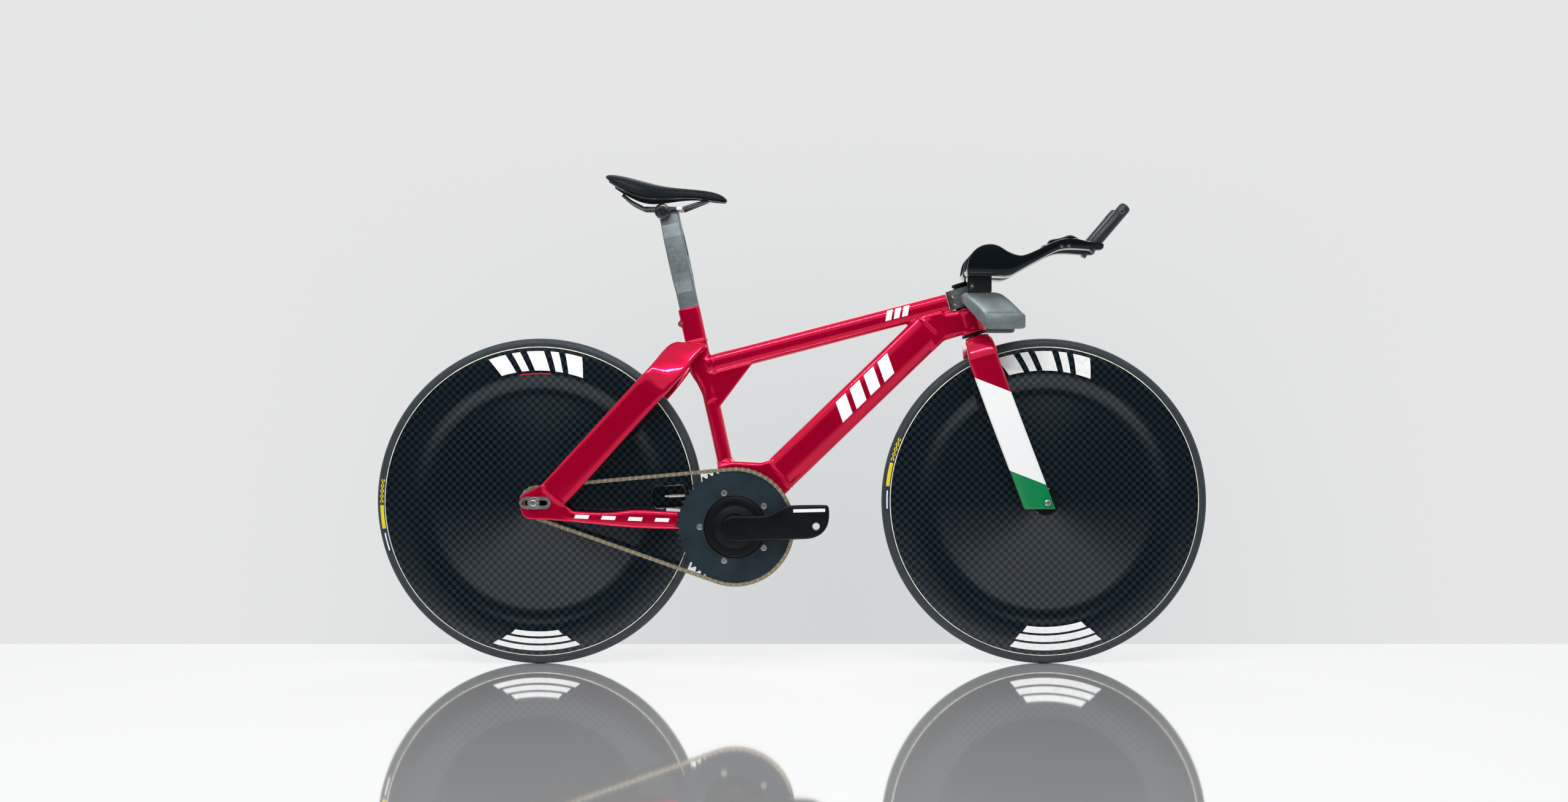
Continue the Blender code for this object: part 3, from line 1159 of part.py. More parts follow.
def build_seatpost(metal, axis):
    """A flat post that splits into two bowed blades and joins again under the clamp."""
    half = POST_WIDTH / 2
    eye = POST_EYE_HALF_WIDTH
    head = 0.0145
    right_side = [(-half, POST_BOTTOM), (-half, POST_SPLIT), (-eye * 0.72, (POST_SPLIT + POST_OPEN) / 2),
                  (-eye, POST_OPEN), (-eye - 0.0015, (POST_OPEN + POST_CLOSING) / 2), (-eye, POST_CLOSING),
                  (-eye * 0.72, (POST_CLOSING + POST_JOINED) / 2), (-head, POST_JOINED),
                  (-head, POST_TOP + 0.010)]
    outline = right_side + [(-s, r) for s, r in reversed(right_side)]
    bowed = -eye + POST_BLADE
    window = [(0, POST_SPLIT + 0.012), (bowed + 0.003, POST_OPEN),
              (bowed - 0.0015, (POST_OPEN + POST_CLOSING) / 2),
              (bowed + 0.003, POST_CLOSING), (0, POST_JOINED - 0.014)]
    window += [(-s, r) for s, r in reversed(window[1:-1])]
    edge = POST_BEVEL

    def face(points, ahead, inset):
        loop = []
        for s, r in points:
            squeeze = max(0.0, 1 - inset / max(abs(s), 1e-6))
            loop.append(seat_point(-POST_SETBACK + ahead, r, s * squeeze))
        return loop

    loops = [face(outline, -POST_DEPTH / 2, edge), face(outline, -POST_DEPTH / 2 + edge, 0),
             face(outline, POST_DEPTH / 2 - edge, 0), face(outline, POST_DEPTH / 2, edge)]
    post = finish("seatpost", loft(loops), metal)
    hole = loft([face(window, -0.04, 0), face(window, 0.04, 0)])
    boolean(post, cutter_from(hole, "post_eye"))
    cradle = rod(clamp_centre(), SIDEWAYS, CLAMP_RADIUS + GAP, -0.05, 0.05, 24)
    boolean(post, cutter_from(cradle, "clamp_cradle"))
    above = POST_TOP + 0.145
    slope = [(-0.06, POST_TOP - 0.012), (0.0, POST_TOP + 0.004), (0.06, POST_TOP - 0.004), (0.06, above),
             (-0.06, above)]
    slope = cutter_from(loft([[seat_point(a, r, s) for a, r in slope] for s in (-0.05, 0.05)]), "post_top")
    boolean(post, slope)
    return hang(post, axis)


def clamp_centre():
    return seat_point(-CLAMP_SETBACK, CLAMP_RISE)


def build_clamp(metal, axis):
    centre = clamp_centre()
    clamp = finish("saddle_clamp", rod(centre, SIDEWAYS, CLAMP_RADIUS, -CLAMP_HALF_WIDTH, CLAMP_HALF_WIDTH,
                                       24, 0.003),
                   metal)
    for name, side in (("right", -1), ("left", 1)):
        place = centre + Vector((-0.03, side * RAIL_SPREAD, RAIL_ABOVE_CLAMP))
        tunnel = rod(place, Vector((1, 0, 0)), RAIL_RADIUS + 2 * GAP, 0, 0.06, 12)
        boolean(clamp, cutter_from(tunnel, "rail_tunnel_" + name))
    return hang(clamp, axis)


def build_rails(steel, axis):
    """Both rails in one bar, bent round under the nose; its places are measured from the clamp's centre."""
    height = RAIL_ABOVE_CLAMP
    rear = [(-0.0796, 0.036, height + 0.0255), (-0.0616, 0.030, height + 0.0120),
            (-0.0376, RAIL_SPREAD, height)]
    front = [(0.0424, RAIL_SPREAD, height), (0.0674, 0.0155, height + 0.0090),
             (0.0894, 0.0060, height + 0.0165)]
    nose = Vector((0.0954, 0, height + 0.0180))
    half = smooth_path([Vector(p) for p in rear], 2) + smooth_path([Vector(p) for p in front], 2)
    mirrored = [Vector((p.x, -p.y, p.z)) for p in reversed(half)]
    path = [clamp_centre() + place for place in half + [nose] + mirrored]
    hang(swept_tube("saddle_rails", path, RAIL_RADIUS, steel), axis)


def saddle_rows():
    """The saddle from tail to nose, from the clamp's centre: ahead, skirt, crown and half width."""
    return ((-0.1136, 0.0629, 0.0719, 0.034), (-0.1056, 0.0559, 0.0749, 0.052),
            (-0.0856, 0.0429, 0.0729, 0.064),
            (-0.0556, 0.0289, 0.0669, 0.067), (-0.0256, 0.0229, 0.0589, 0.058),
            (0.0044, 0.0229, 0.0524, 0.042),
            (0.0344, 0.0259, 0.0494, 0.030), (0.0644, 0.0269, 0.0469, 0.0235),
            (0.0944, 0.0229, 0.0434, 0.0205),
            (0.1164, 0.0204, 0.0369, 0.0185), (0.1274, 0.0189, 0.0299, 0.0145),
            (0.1309, 0.0194, 0.0259, 0.009))


def saddle_arch(row, inset, lift, steps=12):
    """An arch over the saddle's width, drawn in by inset; lift raises its lower edges."""
    ahead, skirt, crown, half = row
    reach = max(half - inset, 0.002)
    foot = skirt + lift
    height = max(crown - inset - foot, 0.0008)
    arch = []
    for i in range(steps + 1):
        turn = math.pi * i / steps
        across = math.copysign(abs(math.cos(turn)) ** 0.75, math.cos(turn))
        arch.append(clamp_centre() + Vector((ahead, reach * across, foot + height * math.sin(turn) ** 0.55)))
    return arch


def build_saddle(cover, shell_material, axis):
    rows = saddle_rows()
    pad = [saddle_arch(row, 0.0, 0.004) + list(reversed(saddle_arch(row, min(SADDLE_PAD, 0.45 * row[3]),
                                                                    0.004)))
           for row in rows]
    hang(finish("saddle_pad", loft(pad), cover), axis)
    inner = SADDLE_PAD + 2 * GAP
    shell = [saddle_arch(row, min(inner, 0.45 * row[3] + 2 * GAP), 0.0005)
             + list(reversed(saddle_arch(row, min(inner + SADDLE_SHELL,
                                                  0.45 * row[3] + 2 * GAP + SADDLE_SHELL), 0.0)))
             for row in rows[1:-1]]
    hang(finish("saddle_shell", loft(shell), shell_material), axis)


def build_all():
    clear_scene()
    global CUTTER_MATERIAL, TRIM_MATERIAL
    CUTTER_MATERIAL = make_material("cutter", (1, 0, 1), 1.0)
    TRIM_MATERIAL = make_material("black_trim", (0.02, 0.02, 0.022), 0.45)
    paint = make_material("red_paint", (0.62, 0.005, 0.035), 0.12, 0.35)
    fork_paint = make_material("fork_paint", (0.60, 0.006, 0.03), 0.14, 0.2)
    carbon = make_material("gloss_carbon", (0.018, 0.030, 0.038), 0.12)
    rubber = make_material("tyre_rubber", (0.035, 0.045, 0.050), 0.6)
    bare = make_material("bare_aluminium", (0.36, 0.40, 0.40), 0.42, 0.8)
    black = make_material("anodised_black", (0.030, 0.036, 0.040), 0.38, 0.5)
    steel = make_material("bright_steel", (0.72, 0.72, 0.70), 0.25, 1.0)
    brass = make_material("pale_gold_steel", (0.76, 0.70, 0.52), 0.30, 1.0)
    cover = make_material("saddle_cover", (0.03, 0.035, 0.04), 0.55)
    foam = make_material("pad_foam", (0.02, 0.02, 0.02), 0.9)

    build_head_tube(paint)
    build_headset(black)
    build_top_tube(paint)
    build_down_tube(paint)
    build_seat_tube(paint)
    build_binder_bolt(steel)
    build_bracket_shell(paint)
    build_cups(black)
    for name, side in (("right", -1), ("left", 1)):
        build_chainstay(name, side, paint)
        build_seat_stay(name, side, paint)
        build_dropout_insert(name, side, steel)
    build_rear_axle(steel)
    build_chain(brass)

    crank_axis = make_empty("crank_axis", BRACKET)
    build_spindle(crank_axis, steel)
    build_chainring(crank_axis, black)
    build_ring_bolts(crank_axis, steel)
    build_crank("right", -1, crank_axis, black)
    build_crank("left", 1, crank_axis, black)

    rear_axis = make_empty("rear_wheel_axis", REAR_AXLE)
    build_rear_wheel(rear_axis, rubber, carbon, black, steel)

    steering_axis = make_empty("steering_axis", CROWN_DATUM, tilt=HEAD_ANGLE - math.pi / 2)
    build_crown(fork_paint, steering_axis)
    build_front_axle(steel, steering_axis)
    build_stem(bare, steel, steering_axis)
    build_base_bar(bare, steering_axis)
    build_riser(black, steering_axis)
    for name, side in (("right", -1), ("left", 1)):
        build_fork_blade(name, side, fork_paint, steering_axis)
        build_arm(name, side, carbon, foam, steering_axis)
    front_axis = make_empty("front_wheel_axis", FRONT_AXLE, parent=steering_axis)
    build_front_wheel(front_axis, rubber, carbon, black)

    post_axis = make_empty("seatpost_axis", seat_point(-POST_SETBACK, MAST_TOP),
                           tilt=SEAT_TUBE_ANGLE - math.pi / 2)
    build_seatpost(bare, post_axis)
    saddle_axis = make_empty("saddle_axis", clamp_centre(), parent=post_axis)
    build_clamp(black, saddle_axis)
    build_rails(steel, saddle_axis)
    build_saddle(cover, black, saddle_axis)


build_all()
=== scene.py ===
"""Dressed model of the track bicycle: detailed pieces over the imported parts, finishes, light and camera.

Everything is in metres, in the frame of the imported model: +X ahead, +Z up, the drive side at -Y.
"""
import math

import bmesh
import bpy
from mathutils import Matrix, Vector


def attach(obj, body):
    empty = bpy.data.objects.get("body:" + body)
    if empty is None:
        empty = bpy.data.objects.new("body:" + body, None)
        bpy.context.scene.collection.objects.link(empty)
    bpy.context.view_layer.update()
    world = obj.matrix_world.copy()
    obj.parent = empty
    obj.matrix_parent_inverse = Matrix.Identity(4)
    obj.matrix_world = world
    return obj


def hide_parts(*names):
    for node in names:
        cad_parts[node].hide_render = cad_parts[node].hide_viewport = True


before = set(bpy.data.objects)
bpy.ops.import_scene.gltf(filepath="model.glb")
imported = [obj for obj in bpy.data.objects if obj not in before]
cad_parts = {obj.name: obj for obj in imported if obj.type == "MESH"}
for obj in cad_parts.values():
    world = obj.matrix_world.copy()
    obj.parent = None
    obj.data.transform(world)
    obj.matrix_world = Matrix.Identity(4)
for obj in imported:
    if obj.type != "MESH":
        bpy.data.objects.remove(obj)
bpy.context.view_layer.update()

# Main sizes, the same as in the solids
WHEEL_RADIUS = 0.334
WHEELBASE = 1.0356
TYRE_WIDTH = 0.023
CHAIN_PITCH = 0.0127
RING_TEETH = 58
SPROCKET_TEETH = 15
CHAIN_LINE = 0.043
FORK_LENGTH = 0.3639
FORK_RAKE = 0.0392
HEAD_ANGLE = math.radians(73.5)
SEAT_TUBE_ANGLE = math.radians(77.7)
TOP_TUBE_SLOPE = math.radians(14.6)
DOWN_TUBE_SLOPE = math.radians(44.0)
CRANK_ANGLE = math.radians(1.3)
VALVE_ANGLE = math.radians(2.0)
GRIP_SLOPE = math.radians(49.7)
GAP = 0.0003
CRANK_LENGTH = 0.165
CRANK_OUTER_FACE = 0.078
CRANK_INNER_FACE = 0.0645
BOLT_CIRCLE_RADIUS = 0.072
WINDOW_CENTRE_RADIUS = 0.266
ARM_SPREAD = 0.054
POST_SETBACK = 0.004
RAIL_SPREAD = 0.022
RAIL_RISE = 0.0063

# Main points
REAR_AXLE = Vector((-WHEELBASE / 2, 0, WHEEL_RADIUS))
FRONT_AXLE = Vector((WHEELBASE / 2, 0, WHEEL_RADIUS))
BRACKET = REAR_AXLE + Vector((math.sqrt(0.4067**2 - 0.0503**2), 0, -0.0503))
SIDEWAYS = Vector((0, 1, 0))
STEER_UP = Vector((-math.cos(HEAD_ANGLE), 0, math.sin(HEAD_ANGLE)))
STEER_AHEAD = Vector((math.sin(HEAD_ANGLE), 0, math.cos(HEAD_ANGLE)))
CROWN_DATUM = FRONT_AXLE - FORK_RAKE * STEER_AHEAD + FORK_LENGTH * STEER_UP
SEAT_UP = Vector((-math.cos(SEAT_TUBE_ANGLE), 0, math.sin(SEAT_TUBE_ANGLE)))
SEAT_AHEAD = Vector((math.sin(SEAT_TUBE_ANGLE), 0, math.cos(SEAT_TUBE_ANGLE)))
SEAT_BASE = BRACKET + Vector((0.005, 0, 0))


def steer_point(ahead, rise, side=0.0):
    """A place measured from the steering axis."""
    return CROWN_DATUM + ahead * STEER_AHEAD + rise * STEER_UP + side * SIDEWAYS


def seat_point(ahead, rise, side=0.0):
    """A place measured from the seat tube's line."""
    return SEAT_BASE + ahead * SEAT_AHEAD + rise * SEAT_UP + side * SIDEWAYS


# Mesh helpers

def loft(loops, caps=True, closed=False):
    """Skin a list of loops that have the same number of points."""
    form = bmesh.new()
    rings = [[form.verts.new(point) for point in loop] for loop in loops]
    count = len(rings[0])
    last = len(rings) if closed else len(rings) - 1
    for i in range(last):
        near, far = rings[i], rings[(i + 1) % len(rings)]
        for j in range(count):
            k = (j + 1) % count
            form.faces.new((near[j], near[k], far[k], far[j]))
    if caps and not closed:
        form.faces.new(list(reversed(rings[0])))
        form.faces.new(rings[-1])
    return form


def lathe(profile, segments, centre=Vector((0, 0, 0)), axis=SIDEWAYS, closed=True):
    """Spin (radius, along) points about an axis."""
    ahead = axis.orthogonal().normalized() if abs(axis.y) < 0.99 else Vector((1, 0, 0))
    form = bmesh.new()
    points = [form.verts.new(centre + ahead * radius + axis * along) for radius, along in profile]
    count = len(points) if closed else len(points) - 1
    edges = [form.edges.new((points[i], points[(i + 1) % len(points)])) for i in range(count)]
    bmesh.ops.spin(form, geom=points + edges, cent=centre, axis=axis, angle=2 * math.pi,
                   steps=segments, use_merge=True)
    bmesh.ops.remove_doubles(form, verts=form.verts, dist=1e-7)
    return form


def rod(centre, axis, radius, low, high, segments=48, edge=0.0):
    """A round bar with softened rims."""
    profile = [(0, low)]
    for i in range(5 if edge else 1):
        turn = math.pi / 2 * (i / 4 if edge else 0)
        profile.append((radius - edge + edge * math.sin(turn), low + edge - edge * math.cos(turn)))
    profile += [(r, low + high - a) for r, a in reversed(profile)]
    return lathe(profile, segments, centre, axis, closed=False)


def extruded(outline, low, high):
    """A plate whose outline lies in the XZ plane."""
    return loft([[Vector((x, low, z)) for x, z in outline], [Vector((x, high, z)) for x, z in outline]])


def rounded_plate(outline, low, high, edge, steps=4):
    """A plate with rounded rims: its outline is drawn in towards both faces."""
    middle = Vector((sum(x for x, _ in outline), sum(z for _, z in outline))) / len(outline)
    loops = []
    for i in range(2 * steps + 2):
        turn = math.pi / 2 * (i if i <= steps else 2 * steps + 1 - i) / steps
        inset = edge * (1 - math.sin(turn))
        y = (low + edge * (1 - math.cos(turn))) if i <= steps else (high - edge * (1 - math.cos(turn)))
        loop = []
        for j, (x, z) in enumerate(outline):
            before, after = Vector(outline[j - 1]), Vector(outline[(j + 1) % len(outline)])
            along = (after - before).normalized()
            normal = Vector((along.y, -along.x))
            if normal.dot(Vector((x, z)) - middle) < 0:
                normal = -normal
            loop.append(Vector((x - normal.x * inset, y, z - normal.y * inset)))
        loops.append(loop)
    return loft(loops)


def superellipse(depth, width, sides, power, lower_power=None):
    """Points (ahead, side) of a rounded rectangle; the rear or lower half may be rounded differently."""
    points = []
    for i in range(sides):
        turn = 2 * math.pi * (i + 0.5) / sides
        bend = lower_power if lower_power and math.cos(turn) <= 0 else power
        reach = (abs(math.cos(turn)) ** bend + abs(math.sin(turn)) ** bend) ** (-1 / bend)
        points.append((depth / 2 * reach * math.cos(turn), width / 2 * reach * math.sin(turn)))
    return points


def curve_through(rows, steps):
    """Rows of numbers read along a smooth line through the given rows."""
    path = []
    last = len(rows) - 1
    for i in range(last):
        before, start, end, after = rows[max(i - 1, 0)], rows[i], rows[i + 1], rows[min(i + 2, last)]
        for j in range(steps):
            t = j / steps
            path.append(tuple(0.5 * (2 * b + (c - a) * t + (2 * a - 5 * b + 4 * c - d) * t**2
                                     + (3 * b - a - 3 * c + d) * t**3)
                              for a, b, c, d in zip(before, start, end, after)))
    path.append(tuple(rows[-1]))
    return path


def merge(forms):
    """Several meshes in one."""
    whole = bmesh.new()
    for form in forms:
        mesh = bpy.data.meshes.new("part")
        form.to_mesh(mesh)
        form.free()
        whole.from_mesh(mesh)
        bpy.data.meshes.remove(mesh)
    return whole


def new_object(name, form, sharp=40.0):
    """An object with outward faces, smooth except along sharp edges."""
    bmesh.ops.remove_doubles(form, verts=form.verts, dist=1e-7)
    bmesh.ops.recalc_face_normals(form, faces=form.faces)
    mesh = bpy.data.meshes.new(name)
    form.to_mesh(mesh)
    form.free()
    mesh.shade_smooth()
    if sharp:
        mesh.set_sharp_from_angle(angle=math.radians(sharp))
    piece = bpy.data.objects.new(name, mesh)
    bpy.context.collection.objects.link(piece)
    return piece


def apply_modifiers(piece):
    """Turn what the modifiers make into the piece's own mesh."""
    bpy.context.view_layer.update()
    result = piece.evaluated_get(bpy.context.evaluated_depsgraph_get())
    mesh = bpy.data.meshes.new_from_object(result)
    old = piece.data
    piece.modifiers.clear()
    piece.data = mesh
    bpy.data.meshes.remove(old)


def carve(piece, form, operation="DIFFERENCE"):
    """Cut a form out of a piece, or join it on."""
    tool = new_object("tool", form, 0)
    change = piece.modifiers.new("carve", "BOOLEAN")
    change.operation = operation
    change.solver = "MANIFOLD"
    change.object = tool
    apply_modifiers(piece)
    bpy.data.objects.remove(tool, do_unlink=True)


def crease(piece, angle):
    """Smooth the faces and keep edges sharp where they turn by more than an angle."""
    piece.data.shade_smooth()
    piece.data.set_sharp_from_angle(angle=math.radians(angle))


def subdivided(piece):
    """One round of subdivision, kept in the piece's own mesh."""
    smooth = piece.modifiers.new("smooth", "SUBSURF")
    smooth.levels = smooth.render_levels = 1
    apply_modifiers(piece)
    piece.data.shade_smooth()


def taken(piece):
    """A helper object's mesh as a form; the object itself goes."""
    form = bmesh.new()
    form.from_mesh(piece.data)
    bpy.data.objects.remove(piece, do_unlink=True)
    return form


def cut_off(form, place_at, direction):
    """Take away what lies beyond a plane and close the cut."""
    cut = bmesh.ops.bisect_plane(form, geom=form.verts[:] + form.edges[:] + form.faces[:], dist=1e-7,
                                 plane_co=place_at, plane_no=direction, clear_outer=True)
    edges = [item for item in cut["geom_cut"] if isinstance(item, bmesh.types.BMEdge)]
    bmesh.ops.contextual_create(form, geom=edges)
    return form


def drawn_in_plate(outline, rims):
    """A plate drawn in towards both faces; rims: side distance and inset, the outermost first."""
    middle = sum(outline, Vector()) / len(outline)
    levels = [(-side, inset) for side, inset in rims] + list(reversed(rims))
    return loft([[spot + (middle - spot).normalized() * inset + SIDEWAYS * side for spot in outline]
                 for side, inset in levels])


def faced(side, face, rows):
    """Profile rows whose second number is measured outwards from a face on one side."""
    return [(radius, face + side * out) for radius, out in rows]


def soften(piece, width, segments=2, angle=35.0):
    """Round a piece's edges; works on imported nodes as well."""
    edge = piece.modifiers.new("soft_edges", "BEVEL")
    edge.width = width
    edge.segments = segments
    edge.limit_method = "ANGLE"
    edge.angle_limit = math.radians(angle)


def place(piece, body, slot, finish, *nodes):
    """Give a piece its body, its finish and the nodes that it stands for, which are hidden; the slot is not
    used.
    """
    piece.data.materials.clear()
    for item in finish if isinstance(finish, (list, tuple)) else (finish,):
        piece.data.materials.append(item)
    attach(piece, body)
    if nodes:
        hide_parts(*nodes)


def dress(node, finish, edge):
    """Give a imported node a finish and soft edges."""
    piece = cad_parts[node]
    for holder in piece.material_slots:
        holder.material = finish
    soften(piece, edge)


# Finishes

# Rows of plain blocks on the frame: slope, start, end, middle, half height, period, share filled, lean
FRAME_BLOCKS = (
    (DOWN_TUBE_SLOPE, 0.4285, 0.5815, 0.3035, 0.0200, 0.0395, 0.70, -0.45),
    (TOP_TUBE_SLOPE, 0.3670, 0.4190, 0.6416, 0.0100, 0.0175, 0.70, -0.45),
    (-0.053, -0.4510, -0.2440, 0.2833, 0.0038, 0.0530, 0.52, -0.30))

# The fork's bands: rise of the lower rim of the red and of the upper rim of the green
RED_RIM, GREEN_RIM = 0.6806, 0.5320


class Finish:
    """A node material: constants sit on the shader, and only what varies is linked to it."""

    def __init__(self, name, colour, roughness, **sockets):
        self.material = bpy.data.materials.new(name)
        self.material.use_nodes = True
        self.tree = self.material.node_tree
        self.shader = self.tree.nodes["Principled BSDF"]
        self.place = self.node("ShaderNodeTexCoord").outputs["Object"]
        self.shader.inputs["Base Color"].default_value = (*colour, 1)
        self.shader.inputs["Roughness"].default_value = roughness
        for key, value in sockets.items():
            socket = self.shader.inputs[key.replace("_", " ")]
            socket.default_value = (*value, 1) if isinstance(value, tuple) else value
        self.height = None

    def node(self, kind, **settings):
        made = self.tree.nodes.new(kind)
        for key, value in settings.items():
            setattr(made, key, value)
        return made

    def feed(self, made, **values):
        """Set or link a node's inputs by name."""
        for key, value in values.items():
            numbered = key[0] == "i" and key[1:].isdigit()
            socket = made.inputs[int(key[1:]) if numbered else key.replace("_", " ")]
            if isinstance(value, bpy.types.NodeSocket):
                self.tree.links.new(value, socket)
            else:
                socket.default_value = value
        return made

    def mapped(self, scale=(1, 1, 1), turn=(0, 0, 0), shift=(0, 0, 0)):
        made = self.feed(self.node("ShaderNodeMapping"), Vector=self.place, Scale=scale, Rotation=turn,
                         Location=shift)
        return made.outputs["Vector"]

    def noise(self, scale, detail=3.0, rough=0.5, where=None):
        made = self.node("ShaderNodeTexNoise")
        self.feed(made, Vector=where or self.place, Scale=scale, Detail=detail, Roughness=rough)
        return made.outputs["Fac"]

    def math(self, operation, *values):
        made = self.node("ShaderNodeMath", operation=operation)
        self.feed(made, **{"i%d" % i: value for i, value in enumerate(values)})
        return made.outputs[0]

    def ranged(self, value, low, high, start=0.0, end=1.0):
        made = self.node("ShaderNodeMapRange")
        self.feed(made, Value=value, From_Min=low, From_Max=high, To_Min=start, To_Max=end)
        return made.outputs["Result"]

    def mix(self, factor, first, second):
        made = self.node("ShaderNodeMix", data_type="RGBA")
        self.tree.links.new(factor, made.inputs["Factor"])
        for socket, value in ((made.inputs[6], first), (made.inputs[7], second)):
            if isinstance(value, bpy.types.NodeSocket):
                self.tree.links.new(value, socket)
            else:
                socket.default_value = (*value, 1)
        return made.outputs[2]

    def colour(self, value):
        self.tree.links.new(value, self.shader.inputs["Base Color"])

    def roughness(self, value):
        self.tree.links.new(value, self.shader.inputs["Roughness"])

    def bump(self, value, distance, strength=1.0, coat=False):
        """Add a height; heights added one after another ride on each other."""
        made = self.feed(self.node("ShaderNodeBump"), Height=value, Distance=distance, Strength=strength)
        if self.height:
            self.tree.links.new(self.height, made.inputs["Normal"])
        self.height = made.outputs["Normal"]
        self.tree.links.new(self.height, self.shader.inputs["Normal"])
        if coat:
            self.tree.links.new(self.height, self.shader.inputs["Coat Normal"])

    def along(self, direction):
        """How far a place lies along a direction."""
        made = self.feed(self.node("ShaderNodeVectorMath", operation="DOT_PRODUCT"), i0=self.place,
                         i1=direction)
        return made.outputs["Value"]


def candy(made, deep, bright):
    """Metal flakes and slow changes of depth under a tinted lacquer."""
    flakes = made.node("ShaderNodeTexVoronoi")
    made.feed(flakes, Vector=made.place, Scale=2600.0)
    sparkle = made.ranged(flakes.outputs["Color"], 0.25, 0.95)
    cloud = made.noise(9.0, 2.0)
    shade = made.math("MULTIPLY_ADD", cloud, 0.55, 0.2)
    blend = made.math("MULTIPLY_ADD", sparkle, 0.06, shade)
    made.roughness(made.ranged(made.noise(40.0, 2.0), 0.3, 0.7, 0.15, 0.20))
    made.bump(made.noise(14.0, 2.0), 0.0006, 0.08, coat=True)
    return made.mix(blend, deep, bright)


def plain_blocks(made):
    """1 inside the rows of plain slanted blocks on the down tube, the top tube and the chainstay."""
    total = None
    for slope, start, end, middle, half, period, filled, lean in FRAME_BLOCKS:
        along = made.along((math.cos(slope), 0.0, math.sin(slope)))
        across = made.math("SUBTRACT", made.along((-math.sin(slope), 0.0, math.cos(slope))), middle)
        inside = made.math("LESS_THAN", made.math("ABSOLUTE", across), half)
        slanted = made.math("MULTIPLY_ADD", across, lean, along)
        share = made.math("FRACT", made.math("DIVIDE", made.math("SUBTRACT", slanted, start), period))
        inside = made.math("MULTIPLY", inside, made.math("LESS_THAN", share, filled))
        inside = made.math("MULTIPLY", inside, made.math("GREATER_THAN", slanted, start))
        inside = made.math("MULTIPLY", inside, made.math("LESS_THAN", slanted, end))
        total = made.math("MAXIMUM", total, inside) if total else inside
    return total


